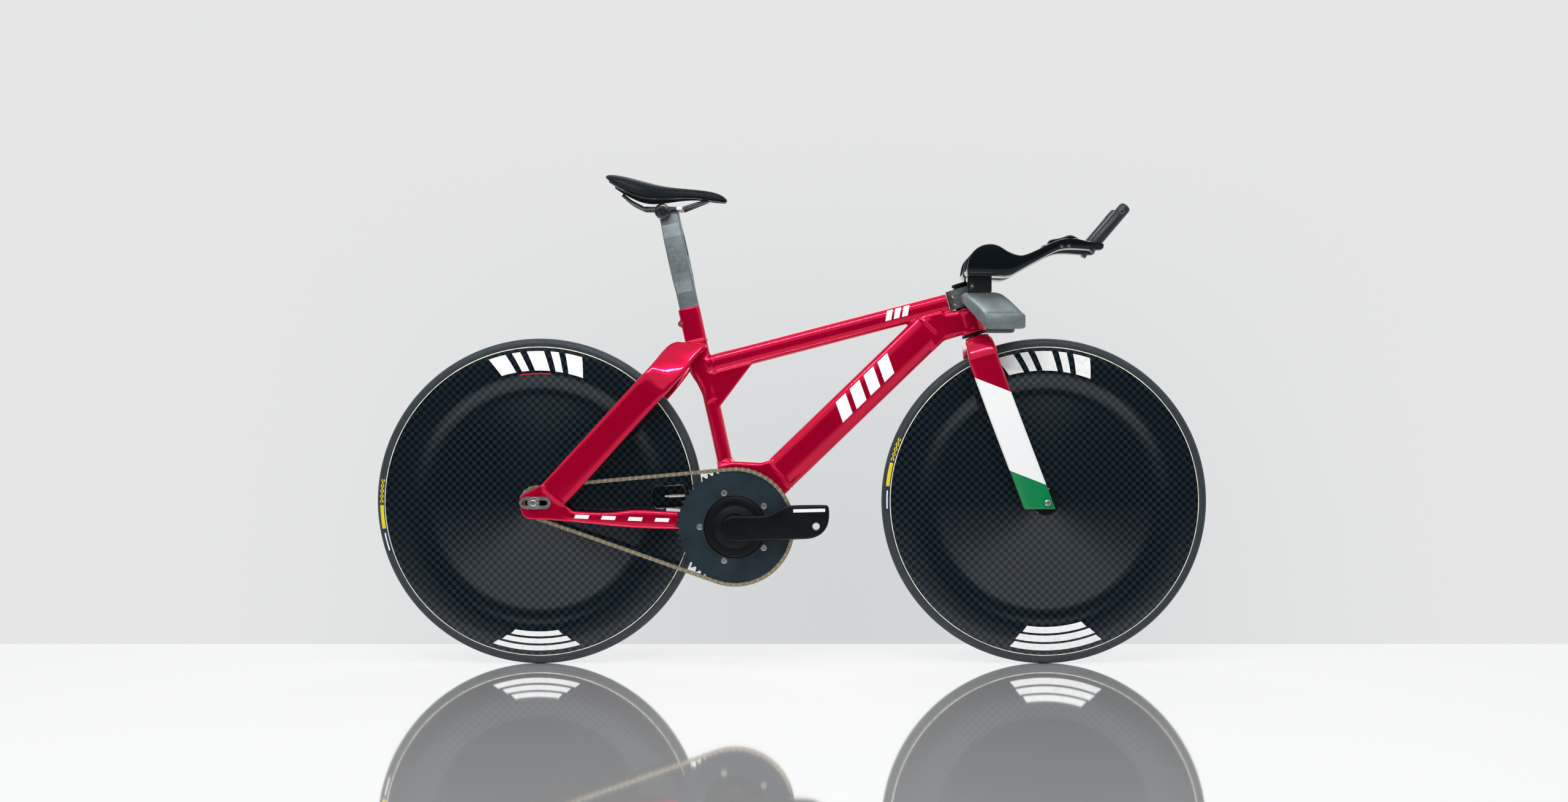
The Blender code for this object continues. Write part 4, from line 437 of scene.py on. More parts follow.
def make_finishes():
    kinds = {}

    made = Finish("candy_red", (0.55, 0.002, 0.03), 0.25, Metallic=0.60, Coat_Weight=1.0, Coat_Roughness=0.02,
                  Coat_IOR=1.35, Specular_Tint=(0.50, 0.0, 0.22))
    red = candy(made, (0.42, 0.0002, 0.025), (0.82, 0.0008, 0.053))
    blocks = plain_blocks(made)
    made.colour(made.mix(blocks, red, (0.90, 0.91, 0.92)))
    made.feed(made.shader, Metallic=made.ranged(blocks, 0.0, 1.0, 0.58, 0.0))
    kinds["red"] = made.material

    made = Finish("fork_bands", (0.55, 0.004, 0.03), 0.25, Coat_Weight=1.0, Coat_Roughness=0.02,
                  Coat_IOR=1.35,
                  Specular_IOR_Level=0.15)
    rise = made.along((0.363, 0.0, 0.932))
    red = candy(made, (0.40, 0.0002, 0.024), (0.76, 0.0009, 0.050))
    specks = made.noise(300.0, 4.0)
    white = made.mix(specks, (0.85, 0.86, 0.87), (0.90, 0.91, 0.91))
    green = made.mix(specks, (0.001, 0.190, 0.056), (0.002, 0.225, 0.068))
    above = made.math("GREATER_THAN", rise, RED_RIM)
    below = made.math("LESS_THAN", rise, GREEN_RIM)
    made.colour(made.mix(above, made.mix(below, white, green), red))
    made.feed(made.shader, Metallic=made.math("MULTIPLY", above, 0.52))
    near = [made.math("ABSOLUTE", made.math("SUBTRACT", rise, rim)) for rim in (RED_RIM, GREEN_RIM)]
    made.bump(made.ranged(made.math("MINIMUM", *near), 0.0, 0.0012), 0.00015, 0.5)
    kinds["fork"] = made.material

    for name, size, turn, soft, gloss, dark, light, shine in (
            ("disc_weave", 0.0085, 0.0, 0.04, 1.45, (0.0003, 0.0013, 0.0030), (0.0045, 0.0120, 0.0200), 0.55),
            ("rest_weave", 0.0030, 0.785, 0.14, 1.32, (0.0010, 0.0022, 0.0034), (0.0018, 0.0036, 0.0052),
             0.10)):
        made = Finish(name, (0.012, 0.018, 0.022), 0.28, Coat_Weight=1.0, Coat_Roughness=soft, Coat_IOR=gloss,
                      Specular_IOR_Level=0.25, Specular_Tint=(0.66, 0.86, 1.0))
        flat = (made.mapped((1, 0, 1), (0, turn, 0)) if size > 0.005
                else made.mapped((1, 1, 1), (0.0, turn, 0.3)))
        squares = made.feed(made.node("ShaderNodeTexChecker"), Vector=flat, Scale=1 / size).outputs["Fac"]
        strands = []
        for direction in ("X", "Z"):
            lines = made.node("ShaderNodeTexWave", wave_type="BANDS", bands_direction=direction)
            made.feed(lines, Vector=flat, Scale=520.0, Distortion=0.6, Detail=1.0)
            strands.append(lines.outputs["Fac"])
        fibre = made.mix(squares, *strands)
        patchy = made.ranged(made.noise(7.0, 3.0, where=flat), 0.35, 0.7)
        tone = made.mix(squares, dark, light)
        worn = made.mix(made.math("MULTIPLY", patchy, 0.30), tone, (0.0020, 0.0050, 0.0080))
        grain = made.mix(made.math("MULTIPLY", fibre, 0.12), worn, (0.014, 0.021, 0.026))
        made.colour(grain)
        made.roughness(made.ranged(squares, 0, 1, 0.42, 0.26))
        made.feed(made.shader, Specular_IOR_Level=made.ranged(squares, 0, 1, 0.08, shine))
        made.bump(made.noise(14.0, 2.0), 0.0008, 0.10, coat=True)
        kinds[name] = made.material

    made = Finish("tyre_rubber", (0.022, 0.028, 0.031), 0.55, Specular_IOR_Level=0.5)
    ribs = made.node("ShaderNodeTexWave", wave_type="BANDS", bands_direction="Y")
    made.feed(ribs, Vector=made.place, Scale=340.0, Distortion=0.0)
    dust = made.noise(45.0, 6.0, 0.65)
    made.colour(made.mix(dust, (0.010, 0.018, 0.024), (0.028, 0.042, 0.050)))
    made.roughness(made.ranged(made.noise(160.0, 5.0), 0.3, 0.7, 0.46, 0.64))
    made.bump(ribs.outputs["Fac"], 0.00012, 0.5)
    made.bump(made.noise(900.0, 3.0), 0.00010, 0.35)
    kinds["tyre"] = made.material

    made = Finish("raw_aluminium", (0.30, 0.335, 0.34), 0.42, Metallic=0.72, Specular_IOR_Level=0.5)
    blotch = made.noise(30.0, 6.0, 0.62)
    grain = made.noise(150.0, 5.0, 0.6, made.mapped((1, 6, 1)))
    tone = made.mix(made.ranged(blotch, 0.32, 0.68), (0.130, 0.165, 0.178), (0.240, 0.285, 0.300))
    made.colour(made.mix(made.math("MULTIPLY", grain, 0.5), tone, (0.27, 0.30, 0.305)))
    made.roughness(made.ranged(grain, 0.3, 0.7, 0.36, 0.56))
    made.bump(grain, 0.00018, 0.30)
    made.bump(made.noise(18.0, 2.0), 0.0012, 0.12)
    kinds["raw"] = made.material

    made = Finish("stem_aluminium", (0.10, 0.12, 0.115), 0.45, Metallic=0.6)
    blotch = made.noise(70.0, 6.0, 0.65)
    made.colour(made.mix(made.ranged(blotch, 0.3, 0.7), (0.060, 0.074, 0.071), (0.150, 0.170, 0.165)))
    made.roughness(made.ranged(blotch, 0.3, 0.7, 0.36, 0.6))
    made.bump(made.noise(260.0, 4.0), 0.00012, 0.3)
    kinds["stem"] = made.material

    for name, tone, rough in (("satin_black", 0.0026, 0.34), ("trim_black", 0.003, 0.40),
                              ("ring_black", 0.0150, 0.42)):
        made = Finish(name, (tone, tone * 1.12, tone * 1.2), rough, Specular_IOR_Level=0.16)
        cloud = made.ranged(made.noise(22.0, 2.0), 0.3, 0.7)
        made.colour(made.mix(cloud, (tone * 0.8, tone * 1.5, tone * 2.0),
                             (tone * 1.2, tone * 2.1, tone * 2.8)))
        made.roughness(made.ranged(cloud, 0, 1, rough - 0.06, rough + 0.08))
        made.bump(made.noise(420.0, 2.0), 0.00008, 0.15)
        kinds[name] = made.material

    made = Finish("gloss_black", (0.010, 0.012, 0.014), 0.22, Coat_Weight=0.8, Coat_Roughness=0.06)
    cloud = made.noise(40.0, 4.0)
    made.colour(made.mix(cloud, (0.007, 0.009, 0.010), (0.016, 0.019, 0.022)))
    made.roughness(made.ranged(made.noise(220.0, 4.0), 0.3, 0.7, 0.16, 0.30))
    made.bump(made.noise(25.0, 2.0), 0.0006, 0.12, coat=True)
    kinds["gloss"] = made.material

    made = Finish("grip_rubber", (0.030, 0.038, 0.042), 0.55)
    cloud = made.noise(22.0, 1.0)
    made.colour(made.mix(cloud, (0.007, 0.013, 0.018), (0.011, 0.019, 0.025)))
    made.roughness(made.ranged(cloud, 0.3, 0.7, 0.40, 0.46))
    made.bump(made.noise(30.0, 2.0), 0.0004, 0.10)
    kinds["grip"] = made.material

    made = Finish("button_grey", (0.10, 0.12, 0.13), 0.4)
    cloud = made.noise(300.0, 4.0)
    made.colour(made.mix(cloud, (0.08, 0.10, 0.11), (0.14, 0.16, 0.17)))
    made.bump(cloud, 0.0001, 0.3)
    kinds["button"] = made.material

    made = Finish("bright_steel", (0.62, 0.63, 0.62), 0.24, Metallic=1.0)
    scratch = made.noise(900.0, 3.0, 0.6, made.mapped((0.15, 1, 1)))
    made.colour(made.mix(made.noise(90.0, 4.0), (0.52, 0.53, 0.53), (0.72, 0.72, 0.71)))
    made.roughness(made.ranged(scratch, 0.3, 0.7, 0.16, 0.34))
    made.bump(scratch, 0.00005, 0.4)
    kinds["steel"] = made.material

    made = Finish("pale_gold", (0.64, 0.56, 0.38), 0.30, Metallic=0.9)
    grime = made.ranged(made.noise(210.0, 5.0, 0.65), 0.42, 0.72)
    made.colour(made.mix(grime, (0.66, 0.58, 0.40), (0.24, 0.20, 0.14)))
    made.roughness(made.ranged(grime, 0, 1, 0.24, 0.5))
    kinds["gold"] = made.material

    made = Finish("saddle_cover", (0.018, 0.021, 0.024), 0.5, Sheen_Weight=0.03, Specular_IOR_Level=0.12)
    cells = made.node("ShaderNodeTexVoronoi", feature="F1")
    made.feed(cells, Vector=made.mapped((1, 1, 0)), Scale=220.0, Randomness=0.0)
    dots = made.ranged(cells.outputs["Distance"], 0.20, 0.34, 1.0, 0.0)
    grain = made.noise(700.0, 4.0)
    made.colour(made.mix(dots, (0.0010, 0.0026, 0.0040), (0.014, 0.021, 0.026)))
    made.roughness(made.ranged(grain, 0.3, 0.7, 0.42, 0.60))
    made.bump(dots, 0.00035, 0.6)
    made.bump(grain, 0.00012, 0.4)
    kinds["saddle"] = made.material

    made = Finish("saddle_side", (0.016, 0.020, 0.023), 0.42, Specular_IOR_Level=0.15)
    grain = made.noise(520.0, 5.0, 0.6)
    made.colour(made.mix(made.noise(30.0, 3.0), (0.003, 0.006, 0.008), (0.006, 0.010, 0.013)))
    made.roughness(made.ranged(grain, 0.3, 0.7, 0.34, 0.50))
    made.bump(grain, 0.00012, 0.4)
    kinds["saddle_side"] = made.material

    made = Finish("pad_fabric", (0.012, 0.012, 0.013), 0.9, Sheen_Weight=0.3, Sheen_Roughness=0.4)
    weave = made.feed(made.node("ShaderNodeTexChecker"), Vector=made.mapped((1, 1, 1), (0.5, 0.3, 0.785)),
                      Scale=900.0)
    fuzz = made.noise(1400.0, 4.0)
    made.colour(made.mix(made.math("MULTIPLY", weave.outputs["Fac"], fuzz), (0.009, 0.009, 0.010),
                         (0.028, 0.028, 0.030)))
    made.bump(weave.outputs["Fac"], 0.00016, 0.5)
    made.bump(fuzz, 0.0002, 0.5)
    kinds["foam"] = made.material

    made = Finish("cream_line", (0.66, 0.62, 0.50), 0.55)
    worn = made.ranged(made.noise(60.0, 5.0, 0.7), 0.45, 0.75)
    made.colour(made.mix(worn, (0.86, 0.82, 0.68), (0.34, 0.33, 0.27)))
    made.bump(made.noise(500.0, 3.0), 0.0001, 0.3)
    kinds["cream"] = made.material

    for name, tone in (("film_white", (0.92, 0.93, 0.93)), ("film_red", (0.50, 0.010, 0.018)),
                       ("film_yellow", (0.78, 0.62, 0.015)), ("film_navy", (0.012, 0.020, 0.085))):
        made = Finish(name, tone, 0.32, Coat_Weight=0.5, Coat_Roughness=0.15)
        worn = made.ranged(made.noise(120.0, 5.0), 0.5, 0.8)
        made.colour(made.mix(worn, tone, tuple(0.82 * part for part in tone)))
        made.roughness(made.ranged(made.noise(300.0, 3.0), 0.3, 0.7, 0.26, 0.40))
        kinds["red_film" if name == "film_red" else name[5:]] = made.material
    return kinds


FINISH = make_finishes()


# Wheels

def disc_outer():
    """The disc's face from the tyre to the hub: radius and half width, read smoothly."""
    rim = curve_through(((0.3162, 0.0116), (0.3050, 0.0125), (0.2880, 0.0133), (0.2680, 0.0132),
                         (0.2560, 0.0121),
                         (0.2420, 0.0097), (0.2310, 0.0083), (0.2240, 0.0080), (0.2185, 0.0082)), 5)
    lens = curve_through(((0.2185, 0.0082), (0.2000, 0.0099), (0.1500, 0.0147), (0.0900, 0.0204),
                          (0.0400, 0.0252),
                          (0.0300, 0.0262), (0.0275, 0.0264)), 5)
    return rim + lens[1:]


def build_disc(prefix, name, side, centre):
    """One face of a disc wheel as a thin shell with its bed under the tyre."""
    outer = disc_outer()
    inner = [(0.0275, 0.0249), (0.2185, 0.0066), (0.2420, 0.0082), (0.2620, 0.0108), (0.3040, 0.0098),
             (0.3040, 0.0002),
             (0.3105, 0.0002), (0.3122, 0.0060), (0.3140, 0.0095)]
    profile = [(radius, side * width) for radius, width in outer + inner]
    disc = new_object("%s_disc_shell_%s" % (prefix, name), lathe(profile, 256, centre), 30)
    if prefix == "rear" and side < 0:
        outline = window_outline(0.033, 0.0215, 0.0100)
        carve(disc, extruded(outline, -0.03, -0.0008))
    place(disc, prefix + "_wheel", "gloss_carbon", FINISH["disc_weave"], "%s_disc_%s" % (prefix, name))


def window_outline(reach, rise, corner, steps=8):
    """The valve's window, a rounded slot beside the rim."""
    turn = Matrix.Rotation(VALVE_ANGLE, 2)
    points = []
    for ahead, up, start in ((1, 1, 0), (-1, 1, 90), (-1, -1, 180), (1, -1, 270)):
        for i in range(steps + 1):
            angle = math.radians(start + 90 * i / steps)
            spot = turn @ Vector((WINDOW_CENTRE_RADIUS + ahead * (reach - corner) + corner * math.cos(angle),
                                  up * (rise - corner) + corner * math.sin(angle)))
            points.append((REAR_AXLE.x + spot.x, REAR_AXLE.z + spot.y))
    return points


def tyre_half_width(radius):
    """The tyre's side at a radius."""
    middle = WHEEL_RADIUS - TYRE_WIDTH / 2
    return math.sqrt(max((TYRE_WIDTH / 2)**2 - (radius - middle)**2, 0.0))


def build_tyre(prefix, centre):
    middle, reach = WHEEL_RADIUS - TYRE_WIDTH / 2, TYRE_WIDTH / 2
    section = []
    for i in range(40):
        angle = 2 * math.pi * (i + 0.5) / 40
        radius = middle + reach * math.cos(angle)
        width = reach * math.sin(angle)
        if math.cos(angle) < -0.35:
            radius = max(radius, 0.3112)
            width *= 0.93
        section.append((radius, width))
    tyre = new_object(prefix + "_tyre_round", lathe(section, 256, centre), 60)
    place(tyre, prefix + "_wheel", "tyre_rubber", FINISH["tyre"], prefix + "_tyre")
    rings = []
    for side in (-1, 1):
        rings.append(lathe([(0.3154, side * 0.0108), (0.3171, side * 0.0108), (0.3171, side * 0.01145),
                            (0.3163, side * 0.01180), (0.3154, side * 0.01170)], 256, centre))
    line = new_object(prefix + "_rim_line", merge(rings), 50)
    place(line, prefix + "_wheel", "tyre_rubber", FINISH["cream"])


def face_width(radius):
    """The disc's half width at a radius."""
    rows = disc_outer()
    for (r1, w1), (r2, w2) in zip(rows, rows[1:]):
        if r2 <= radius <= r1:
            return w2 + (w1 - w2) * (radius - r2) / max(r1 - r2, 1e-9)
    return rows[0][1]


def arc_patch(centre, height, outer, inner, start, end, side=-1, steps=24, taper=(0, 0), lift=0.00012,
              deep=5):
    """A film that follows the wheel round, from one angle to another; taper slants its two ends."""
    form = bmesh.new()
    layers = []
    for rise in (0.0, lift):
        grid = []
        for j in range(deep + 1):
            v = j / deep
            radius = outer + (inner - outer) * v
            row = []
            for i in range(steps + 1):
                u = i / steps
                a = start + taper[0] * v
                b = end + taper[1] * v
                angle = math.radians(a + (b - a) * u)
                spot = Vector((radius * math.cos(angle), side * (height(radius) + rise),
                               radius * math.sin(angle)))
                row.append(form.verts.new(centre + spot))
            grid.append(row)
        layers.append(grid)
    low, high = layers
    for j in range(deep):
        for i in range(steps):
            form.faces.new((high[j][i], high[j][i + 1], high[j + 1][i + 1], high[j + 1][i]))
            form.faces.new((low[j][i], low[j + 1][i], low[j + 1][i + 1], low[j][i + 1]))
    rim = [(0, i) for i in range(steps)] + [(j, steps) for j in range(deep)]
    rim += [(deep, i) for i in range(steps, 0, -1)] + [(j, 0) for j in range(deep, 0, -1)]
    for (a, b), (c, d) in zip(rim, rim[1:] + rim[:1]):
        form.faces.new((low[a][b], low[c][d], high[c][d], high[a][b]))
    return form


def film(name, forms, body, finish, slot="gloss_carbon"):
    place(new_object(name, merge(forms), 40), body, slot, finish)


def disc_film(radius):
    return face_width(radius) + 0.00010


def tyre_film(radius):
    return tyre_half_width(radius) + 0.00015


def slanted_bars(centre, middle_angle, outer, inner, widths, step, lean, side=-1):
    """A row of slanted bars along the rim, plain and evenly spaced."""
    bars = []
    angle = middle_angle + step * (len(widths) - 1) / 2
    for width in widths:
        bars.append(arc_patch(centre, disc_film, outer, inner, angle + width / 2, angle - width / 2, side, 8,
                              (lean, lean)))
        angle -= step
    return bars


def build_markings():
    """Plain shapes where the photograph shows white and coloured marks: bars, stripes and blocks only."""
    sets = (("rear", REAR_AXLE, 91.5, 269.0, ((0.3060, 0.2960, 17.0), (0.2915, 0.2815, 14.0),
                                              (0.2770, 0.2670, 11.0))),
            ("front", FRONT_AXLE, 90.5, 274.5,
             ((0.3060, 0.2930, 18.0), (0.2885, 0.2755, 16.5), (0.2710, 0.2580, 14.0))))
    for prefix, centre, high, low, rows in sets:
        body = prefix + "_wheel"
        for side, hand in ((-1, "right"), (1, "left")):
            top, mid = (high, low) if side < 0 else (180 - high, 180 - low)
            bars = slanted_bars(centre, top, 0.3080, 0.2680, (6.6, 3.2, 6.6, 3.2, 6.6), 7.4, 3.0 * side, side)
            film("%s_film_bars_%s" % (prefix, hand), bars, body, FINISH["white"])
            stripes = [arc_patch(centre, disc_film, outer, inner, mid - reach, mid + reach, side, 30,
                                 (1.5, -1.5))
                       for outer, inner, reach in rows]
            film("%s_film_stripes_%s" % (prefix, hand), stripes, body, FINISH["white"])
            if prefix == "rear":
                thin = arc_patch(centre, disc_film, 0.2630, 0.2605, top - 7, top + 7, side, 16)
                film("rear_film_thin_%s" % hand, [thin], body, FINISH["red_film"])
                tag_ends = (-5.3, -3.1) if side < 0 else (183.1, 185.3)
                tag = arc_patch(centre, disc_film, 0.2900, 0.2610, *tag_ends, side, 6)
                film("rear_film_tag_%s" % hand, [tag], body, FINISH["white"])


def build_tyre_blocks():
    """Colour blocks on the tyres' sides."""
    for prefix, centre, start in (("rear", REAR_AXLE, 172.0), ("front", FRONT_AXLE, 156.5)):
        for side, hand in ((-1, "right"), (1, "left")):
            flip = (lambda a: a) if side < 0 else (lambda a: 180 - a)
            yellow, white, navy = [], [], []
            for row in range(3):
                for column in range(9):
                    if (row + column) % 2:
                        continue
                    a = start + column * 0.95
                    outer = 0.3262 - row * 0.0022
                    yellow.append(arc_patch(centre, tyre_film, outer, outer - 0.0022, flip(a), flip(a + 0.95),
                                            side, 3,
                                            deep=2))
            bar = start + 9.4
            yellow.append(arc_patch(centre, tyre_film, 0.3262, 0.3192, flip(bar), flip(bar + 8.6), side, 24))
            navy.append(arc_patch(centre, tyre_film, 0.3262, 0.3192, flip(bar + 8.9), flip(bar + 18.0), side,
                                  24))
            white.append(arc_patch(centre, lambda r: tyre_film(r) + 0.00012, 0.3240, 0.3214, flip(bar + 10.2),
                                   flip(bar + 16.8), side, 20))
            for tone, forms in (("yellow", yellow), ("navy", navy), ("white", white)):
                film("%s_tyre_%s_%s" % (prefix, tone, hand), forms, prefix + "_wheel", FINISH[tone],
                     "tyre_rubber")


def build_wheels():
    for prefix, centre in (("rear", REAR_AXLE), ("front", FRONT_AXLE)):
        build_tyre(prefix, centre)
        for name, side in (("right", -1), ("left", 1)):
            build_disc(prefix, name, side, centre)
    build_markings()
    build_tyre_blocks()


build_wheels()


# Frame

def bead(points, radius=0.0015, sides=8, closed=True):
    """A weld bead along a line of places."""
    loops = []
    count = len(points)
    for i, point in enumerate(points):
        before = points[i - 1] if closed or i else points[0]
        after = points[(i + 1) % count] if closed or i < count - 1 else points[-1]
        along = (after - before).normalized()
        first = along.cross(SIDEWAYS if abs(along.y) < 0.9 else Vector((1, 0, 0))).normalized()
        second = along.cross(first)
        loops.append([point + radius * (math.cos(2 * math.pi * j / sides) * first
                                        + math.sin(2 * math.pi * j / sides) * second) for j in range(sides)])
    return loft(loops, caps=not closed, closed=closed)


def slope_lines(angle):
    along = Vector((math.cos(angle), 0, math.sin(angle)))
    return along, Vector((-along.z, 0, along.x))


DOWN_ALONG, DOWN_UP = slope_lines(DOWN_TUBE_SLOPE)
DOWN_LOW = BRACKET - DOWN_UP * 0.0235
DOWN_DEPTH, DOWN_WIDTH = 0.0747, 0.040
DOWN_MIDDLE = DOWN_LOW + DOWN_UP * DOWN_DEPTH / 2
DOWN_CREST = DOWN_LOW + DOWN_UP * DOWN_DEPTH
DOWN_FOOT = DOWN_CREST + DOWN_ALONG * ((0.4135 - DOWN_CREST.z) / DOWN_ALONG.z)
TOP_ALONG, TOP_UP = slope_lines(TOP_TUBE_SLOPE)
TOP_LOW = steer_point(-0.035, 0.0615)
TOP_DEPTH, TOP_WIDTH = 0.041, 0.036
TOP_MIDDLE = TOP_LOW + TOP_UP * TOP_DEPTH / 2


def down_tube_form():
    reach = (TOP_LOW - DOWN_MIDDLE).dot(DOWN_ALONG)
    section = superellipse(DOWN_DEPTH, DOWN_WIDTH, 56, 3.4, 2.7)
    form = loft([[DOWN_MIDDLE + DOWN_ALONG * distance + DOWN_UP * a + SIDEWAYS * s for a, s in section]
                 for distance in (0.030, 0.10, 0.2, 0.3, 0.4, reach - 0.012)])
    return cut_off(form, TOP_LOW + TOP_UP * 0.006, TOP_UP)


def top_tube_form():
    """From a face square to the steering axis back into the seat tube."""
    slant = TOP_ALONG.dot(STEER_AHEAD)
    end = (seat_point(0.006, 0) - TOP_MIDDLE).dot(SEAT_AHEAD) / TOP_ALONG.dot(SEAT_AHEAD)
    front = [TOP_MIDDLE + TOP_UP * a + SIDEWAYS * s for a,
             s in superellipse(TOP_DEPTH, TOP_WIDTH, 56, 2.9, 2.6)]
    loops = [[spot - TOP_ALONG * ((spot - steer_point(-0.035,
                                                      0)).dot(STEER_AHEAD) / slant) for spot in front]]
    for distance in (-0.1, -0.2, -0.3, -0.4, end):
        loops.append([spot + TOP_ALONG * distance for spot in front])
    return loft(loops)


def mast_rows():
    """The seat tube from the bracket's web to the mast's rim: rise, rear, front and width."""
    round_part = [(0.120, -0.016, 0.016, 0.032), (0.200, -0.016, 0.016, 0.032),
                  (0.278, -0.0165, 0.016, 0.032)]
    flare = curve_through(((0.278, -0.0165, 0.016, 0.032), (0.302, -0.022, 0.0165, 0.0315),
                           (0.330, -0.031, 0.0172, 0.031),
                           (0.362, -0.031, 0.0172, 0.030), (0.386, -0.0295, 0.0172, 0.029)), 5)
    mast = [(0.3885, -0.0282, 0.0172, 0.0266), (0.392, -0.028, 0.0172, 0.026), (0.430, -0.028, 0.0172, 0.026),
            (0.4590, -0.028, 0.0172, 0.026)]
    return round_part + flare[1:] + mast


def seat_tube_form():
    loops = []
    for rise, rear, front, width in mast_rows():
        power = 2.0 + 1.6 * min(max((rise - 0.290) / 0.09, 0.0), 1.0)
        section = superellipse(front - rear, width, 48, power)
        loops.append([seat_point((rear + front) / 2 + a, rise, s) for a, s in section])
    return loft(loops)


def lug_corner():
    corner = steer_point(0, 0.0095)
    reach = (corner - DOWN_LOW).dot(STEER_UP) / DOWN_ALONG.dot(STEER_UP)
    return DOWN_LOW + DOWN_ALONG * reach


def head_forms():
    """The head tube and the block behind it that the two main tubes run into."""
    barrel = [(0, 0.0075), (0.0262, 0.0075), (0.0270, 0.0083), (0.0270, 0.016), (0.0262, 0.020),
              (0.0262, 0.050),
              (0.0270, 0.054), (0.0270, 0.0607), (0.0262, 0.0615), (0, 0.0615)]
    yield lathe(barrel, 72, CROWN_DATUM, STEER_UP, closed=False)
    rear = TOP_LOW + TOP_ALONG * -0.070
    corner = lug_corner()
    low = DOWN_ALONG * 0.03
    plan = [steer_point(-0.008, 0.0595), TOP_LOW + TOP_UP * 0.004, rear + TOP_UP * 0.004, corner - low,
            corner, steer_point(-0.006, 0.0105)]
    yield drawn_in_plate(plan, [(0.0200, 0.012), (0.0185, 0.006), (0.0150, 0.0015), (0.010, 0.0)])


def bracket_forms():
    yield lathe([(0, -0.034), (0.0225, -0.034), (0.0235, -0.033), (0.0235, 0.033), (0.0225, 0.034),
                 (0, 0.034)], 72,
                BRACKET, closed=False)
    outline = [DOWN_FOOT - DOWN_UP * DOWN_DEPTH, DOWN_FOOT + DOWN_ALONG * 0.012 - DOWN_UP * 0.004,
               DOWN_FOOT + Vector((-0.010, 0, 0)), seat_point(0.016, 0.1325), seat_point(-0.016, 0.1325),
               seat_point(-0.0165, 0.09), BRACKET + Vector((-0.027, 0, 0.022))]
    for turn in (180, 200, 220, 240, 260, 280, 300, 312):
        angle = math.radians(turn)
        outline.append(BRACKET + Vector((math.cos(angle), 0, math.sin(angle))) * 0.0232)
    yield drawn_in_plate(outline, [(0.0210, 0.007), (0.0195, 0.003), (0.0165, 0.0)])


def gusset_form():
    """The plate in the corner between the top tube and the seat tube."""
    low = seat_point(-0.004, 0.250)
    nose = TOP_LOW - TOP_ALONG * 0.414 + TOP_UP * 0.006
    tail = TOP_LOW - TOP_ALONG * 0.515 + TOP_UP * 0.010
    return drawn_in_plate([low, low + Vector((0.016, 0, -0.003)), nose, tail],
                          [(0.0120, 0.004), (0.0105, 0.001), (0.0080, 0.0)])


# The stays, measured from the rear axle: ahead, bottom, top, side distance and thickness
CHAINSTAY_ROWS = ((0.0540, -0.0364, -0.0040, 0.0640, 0.0080), (0.0680, -0.0380, -0.0110, 0.0632, 0.0110),
                  (0.0780, -0.0390, -0.0160, 0.0620, 0.0140), (0.1150, -0.0432, -0.0190, 0.0572, 0.0150),
                  (0.1570, -0.0480, -0.0195, 0.0515, 0.0160), (0.1880, -0.0512, -0.0160, 0.0455, 0.0168),
                  (0.2090, -0.0530, -0.0155, 0.0420, 0.0170), (0.2500, -0.0552, -0.0180, 0.0335, 0.0168),
                  (0.2940, -0.0570, -0.0210, 0.0260, 0.0165), (0.3750, -0.0605, -0.0285, 0.0245, 0.0165))

# Upper edge ahead and up, lower edge ahead and up, side distance and thickness
SEAT_STAY_ROWS = ((0.0100, 0.0320, 0.0570, -0.0080, 0.0640, 0.0105),
                  (0.0600, 0.0870, 0.1080, 0.0460, 0.0645, 0.0122),
                  (0.1200, 0.1520, 0.1665, 0.1110, 0.0650, 0.0132),
                  (0.2080, 0.2485, 0.2500, 0.2030, 0.0650, 0.0142),
                  (0.2310, 0.2740, 0.2750, 0.2310, 0.0590, 0.0145),
                  (0.2430, 0.2900, 0.2990, 0.2600, 0.0470, 0.0148),
                  (0.2560, 0.3080, 0.3170, 0.2850, 0.0330, 0.0145),
                  (0.2700, 0.3220, 0.3320, 0.3050, 0.0225, 0.0130),
                  (0.2840, 0.3280, 0.3440, 0.3180, 0.0150, 0.0120))

DROPOUT_OUTLINE = ((0.0145, 0.0368), (0.0615, -0.0045), (0.0760, -0.0150), (0.0760, -0.0385),
                   (0.0615, -0.0370),
                   (0.0300, -0.0345), (0.0000, -0.0334), (-0.0120, -0.0328), (-0.0190, -0.0300),
                   (-0.0235, -0.0240),
                   (-0.0265, -0.0160), (-0.0286, -0.0060), (-0.0290, 0.0030), (-0.0283, 0.0110),
                   (-0.0230, 0.0165),
                   (-0.0120, 0.0230), (0.0000, 0.0290))


def stay_forms(side):
    loops = []
    for ahead, bottom, top, distance, thickness in curve_through(CHAINSTAY_ROWS, 4):
        middle = REAR_AXLE + Vector((ahead, side * distance, (top + bottom) / 2))
        loops.append([middle + Vector((0, s, a)) for a, s in superellipse(top - bottom, thickness, 40, 3.4)])
    yield loft(loops)
    loops = []
    for up_x, up_z, low_x, low_z, distance, thickness in curve_through(SEAT_STAY_ROWS, 5):
        upper, lower = Vector((up_x, 0, up_z)), Vector((low_x, 0, low_z))
        across = (upper - lower).normalized()
        middle = REAR_AXLE + (upper + lower) / 2 + Vector((0, side * distance, 0))
        loops.append([middle + across * a + Vector((0, s, 0))
                      for a, s in superellipse((upper - lower).length, thickness, 48, 3.6)])
    yield loft(loops)
    outline = [(REAR_AXLE.x + x, REAR_AXLE.z + z) for x, z in DROPOUT_OUTLINE]
    low, high = sorted((side * 0.0600, side * 0.0680))
    yield rounded_plate(outline, low, high, 0.0018)
    seam = [REAR_AXLE + Vector((0.0145 + 0.047 * t / 10, side * 0.0688,
                                0.0362 - 0.0412 * t / 10)) for t in range(11)]
    yield bead(seam, 0.0013, closed=False)


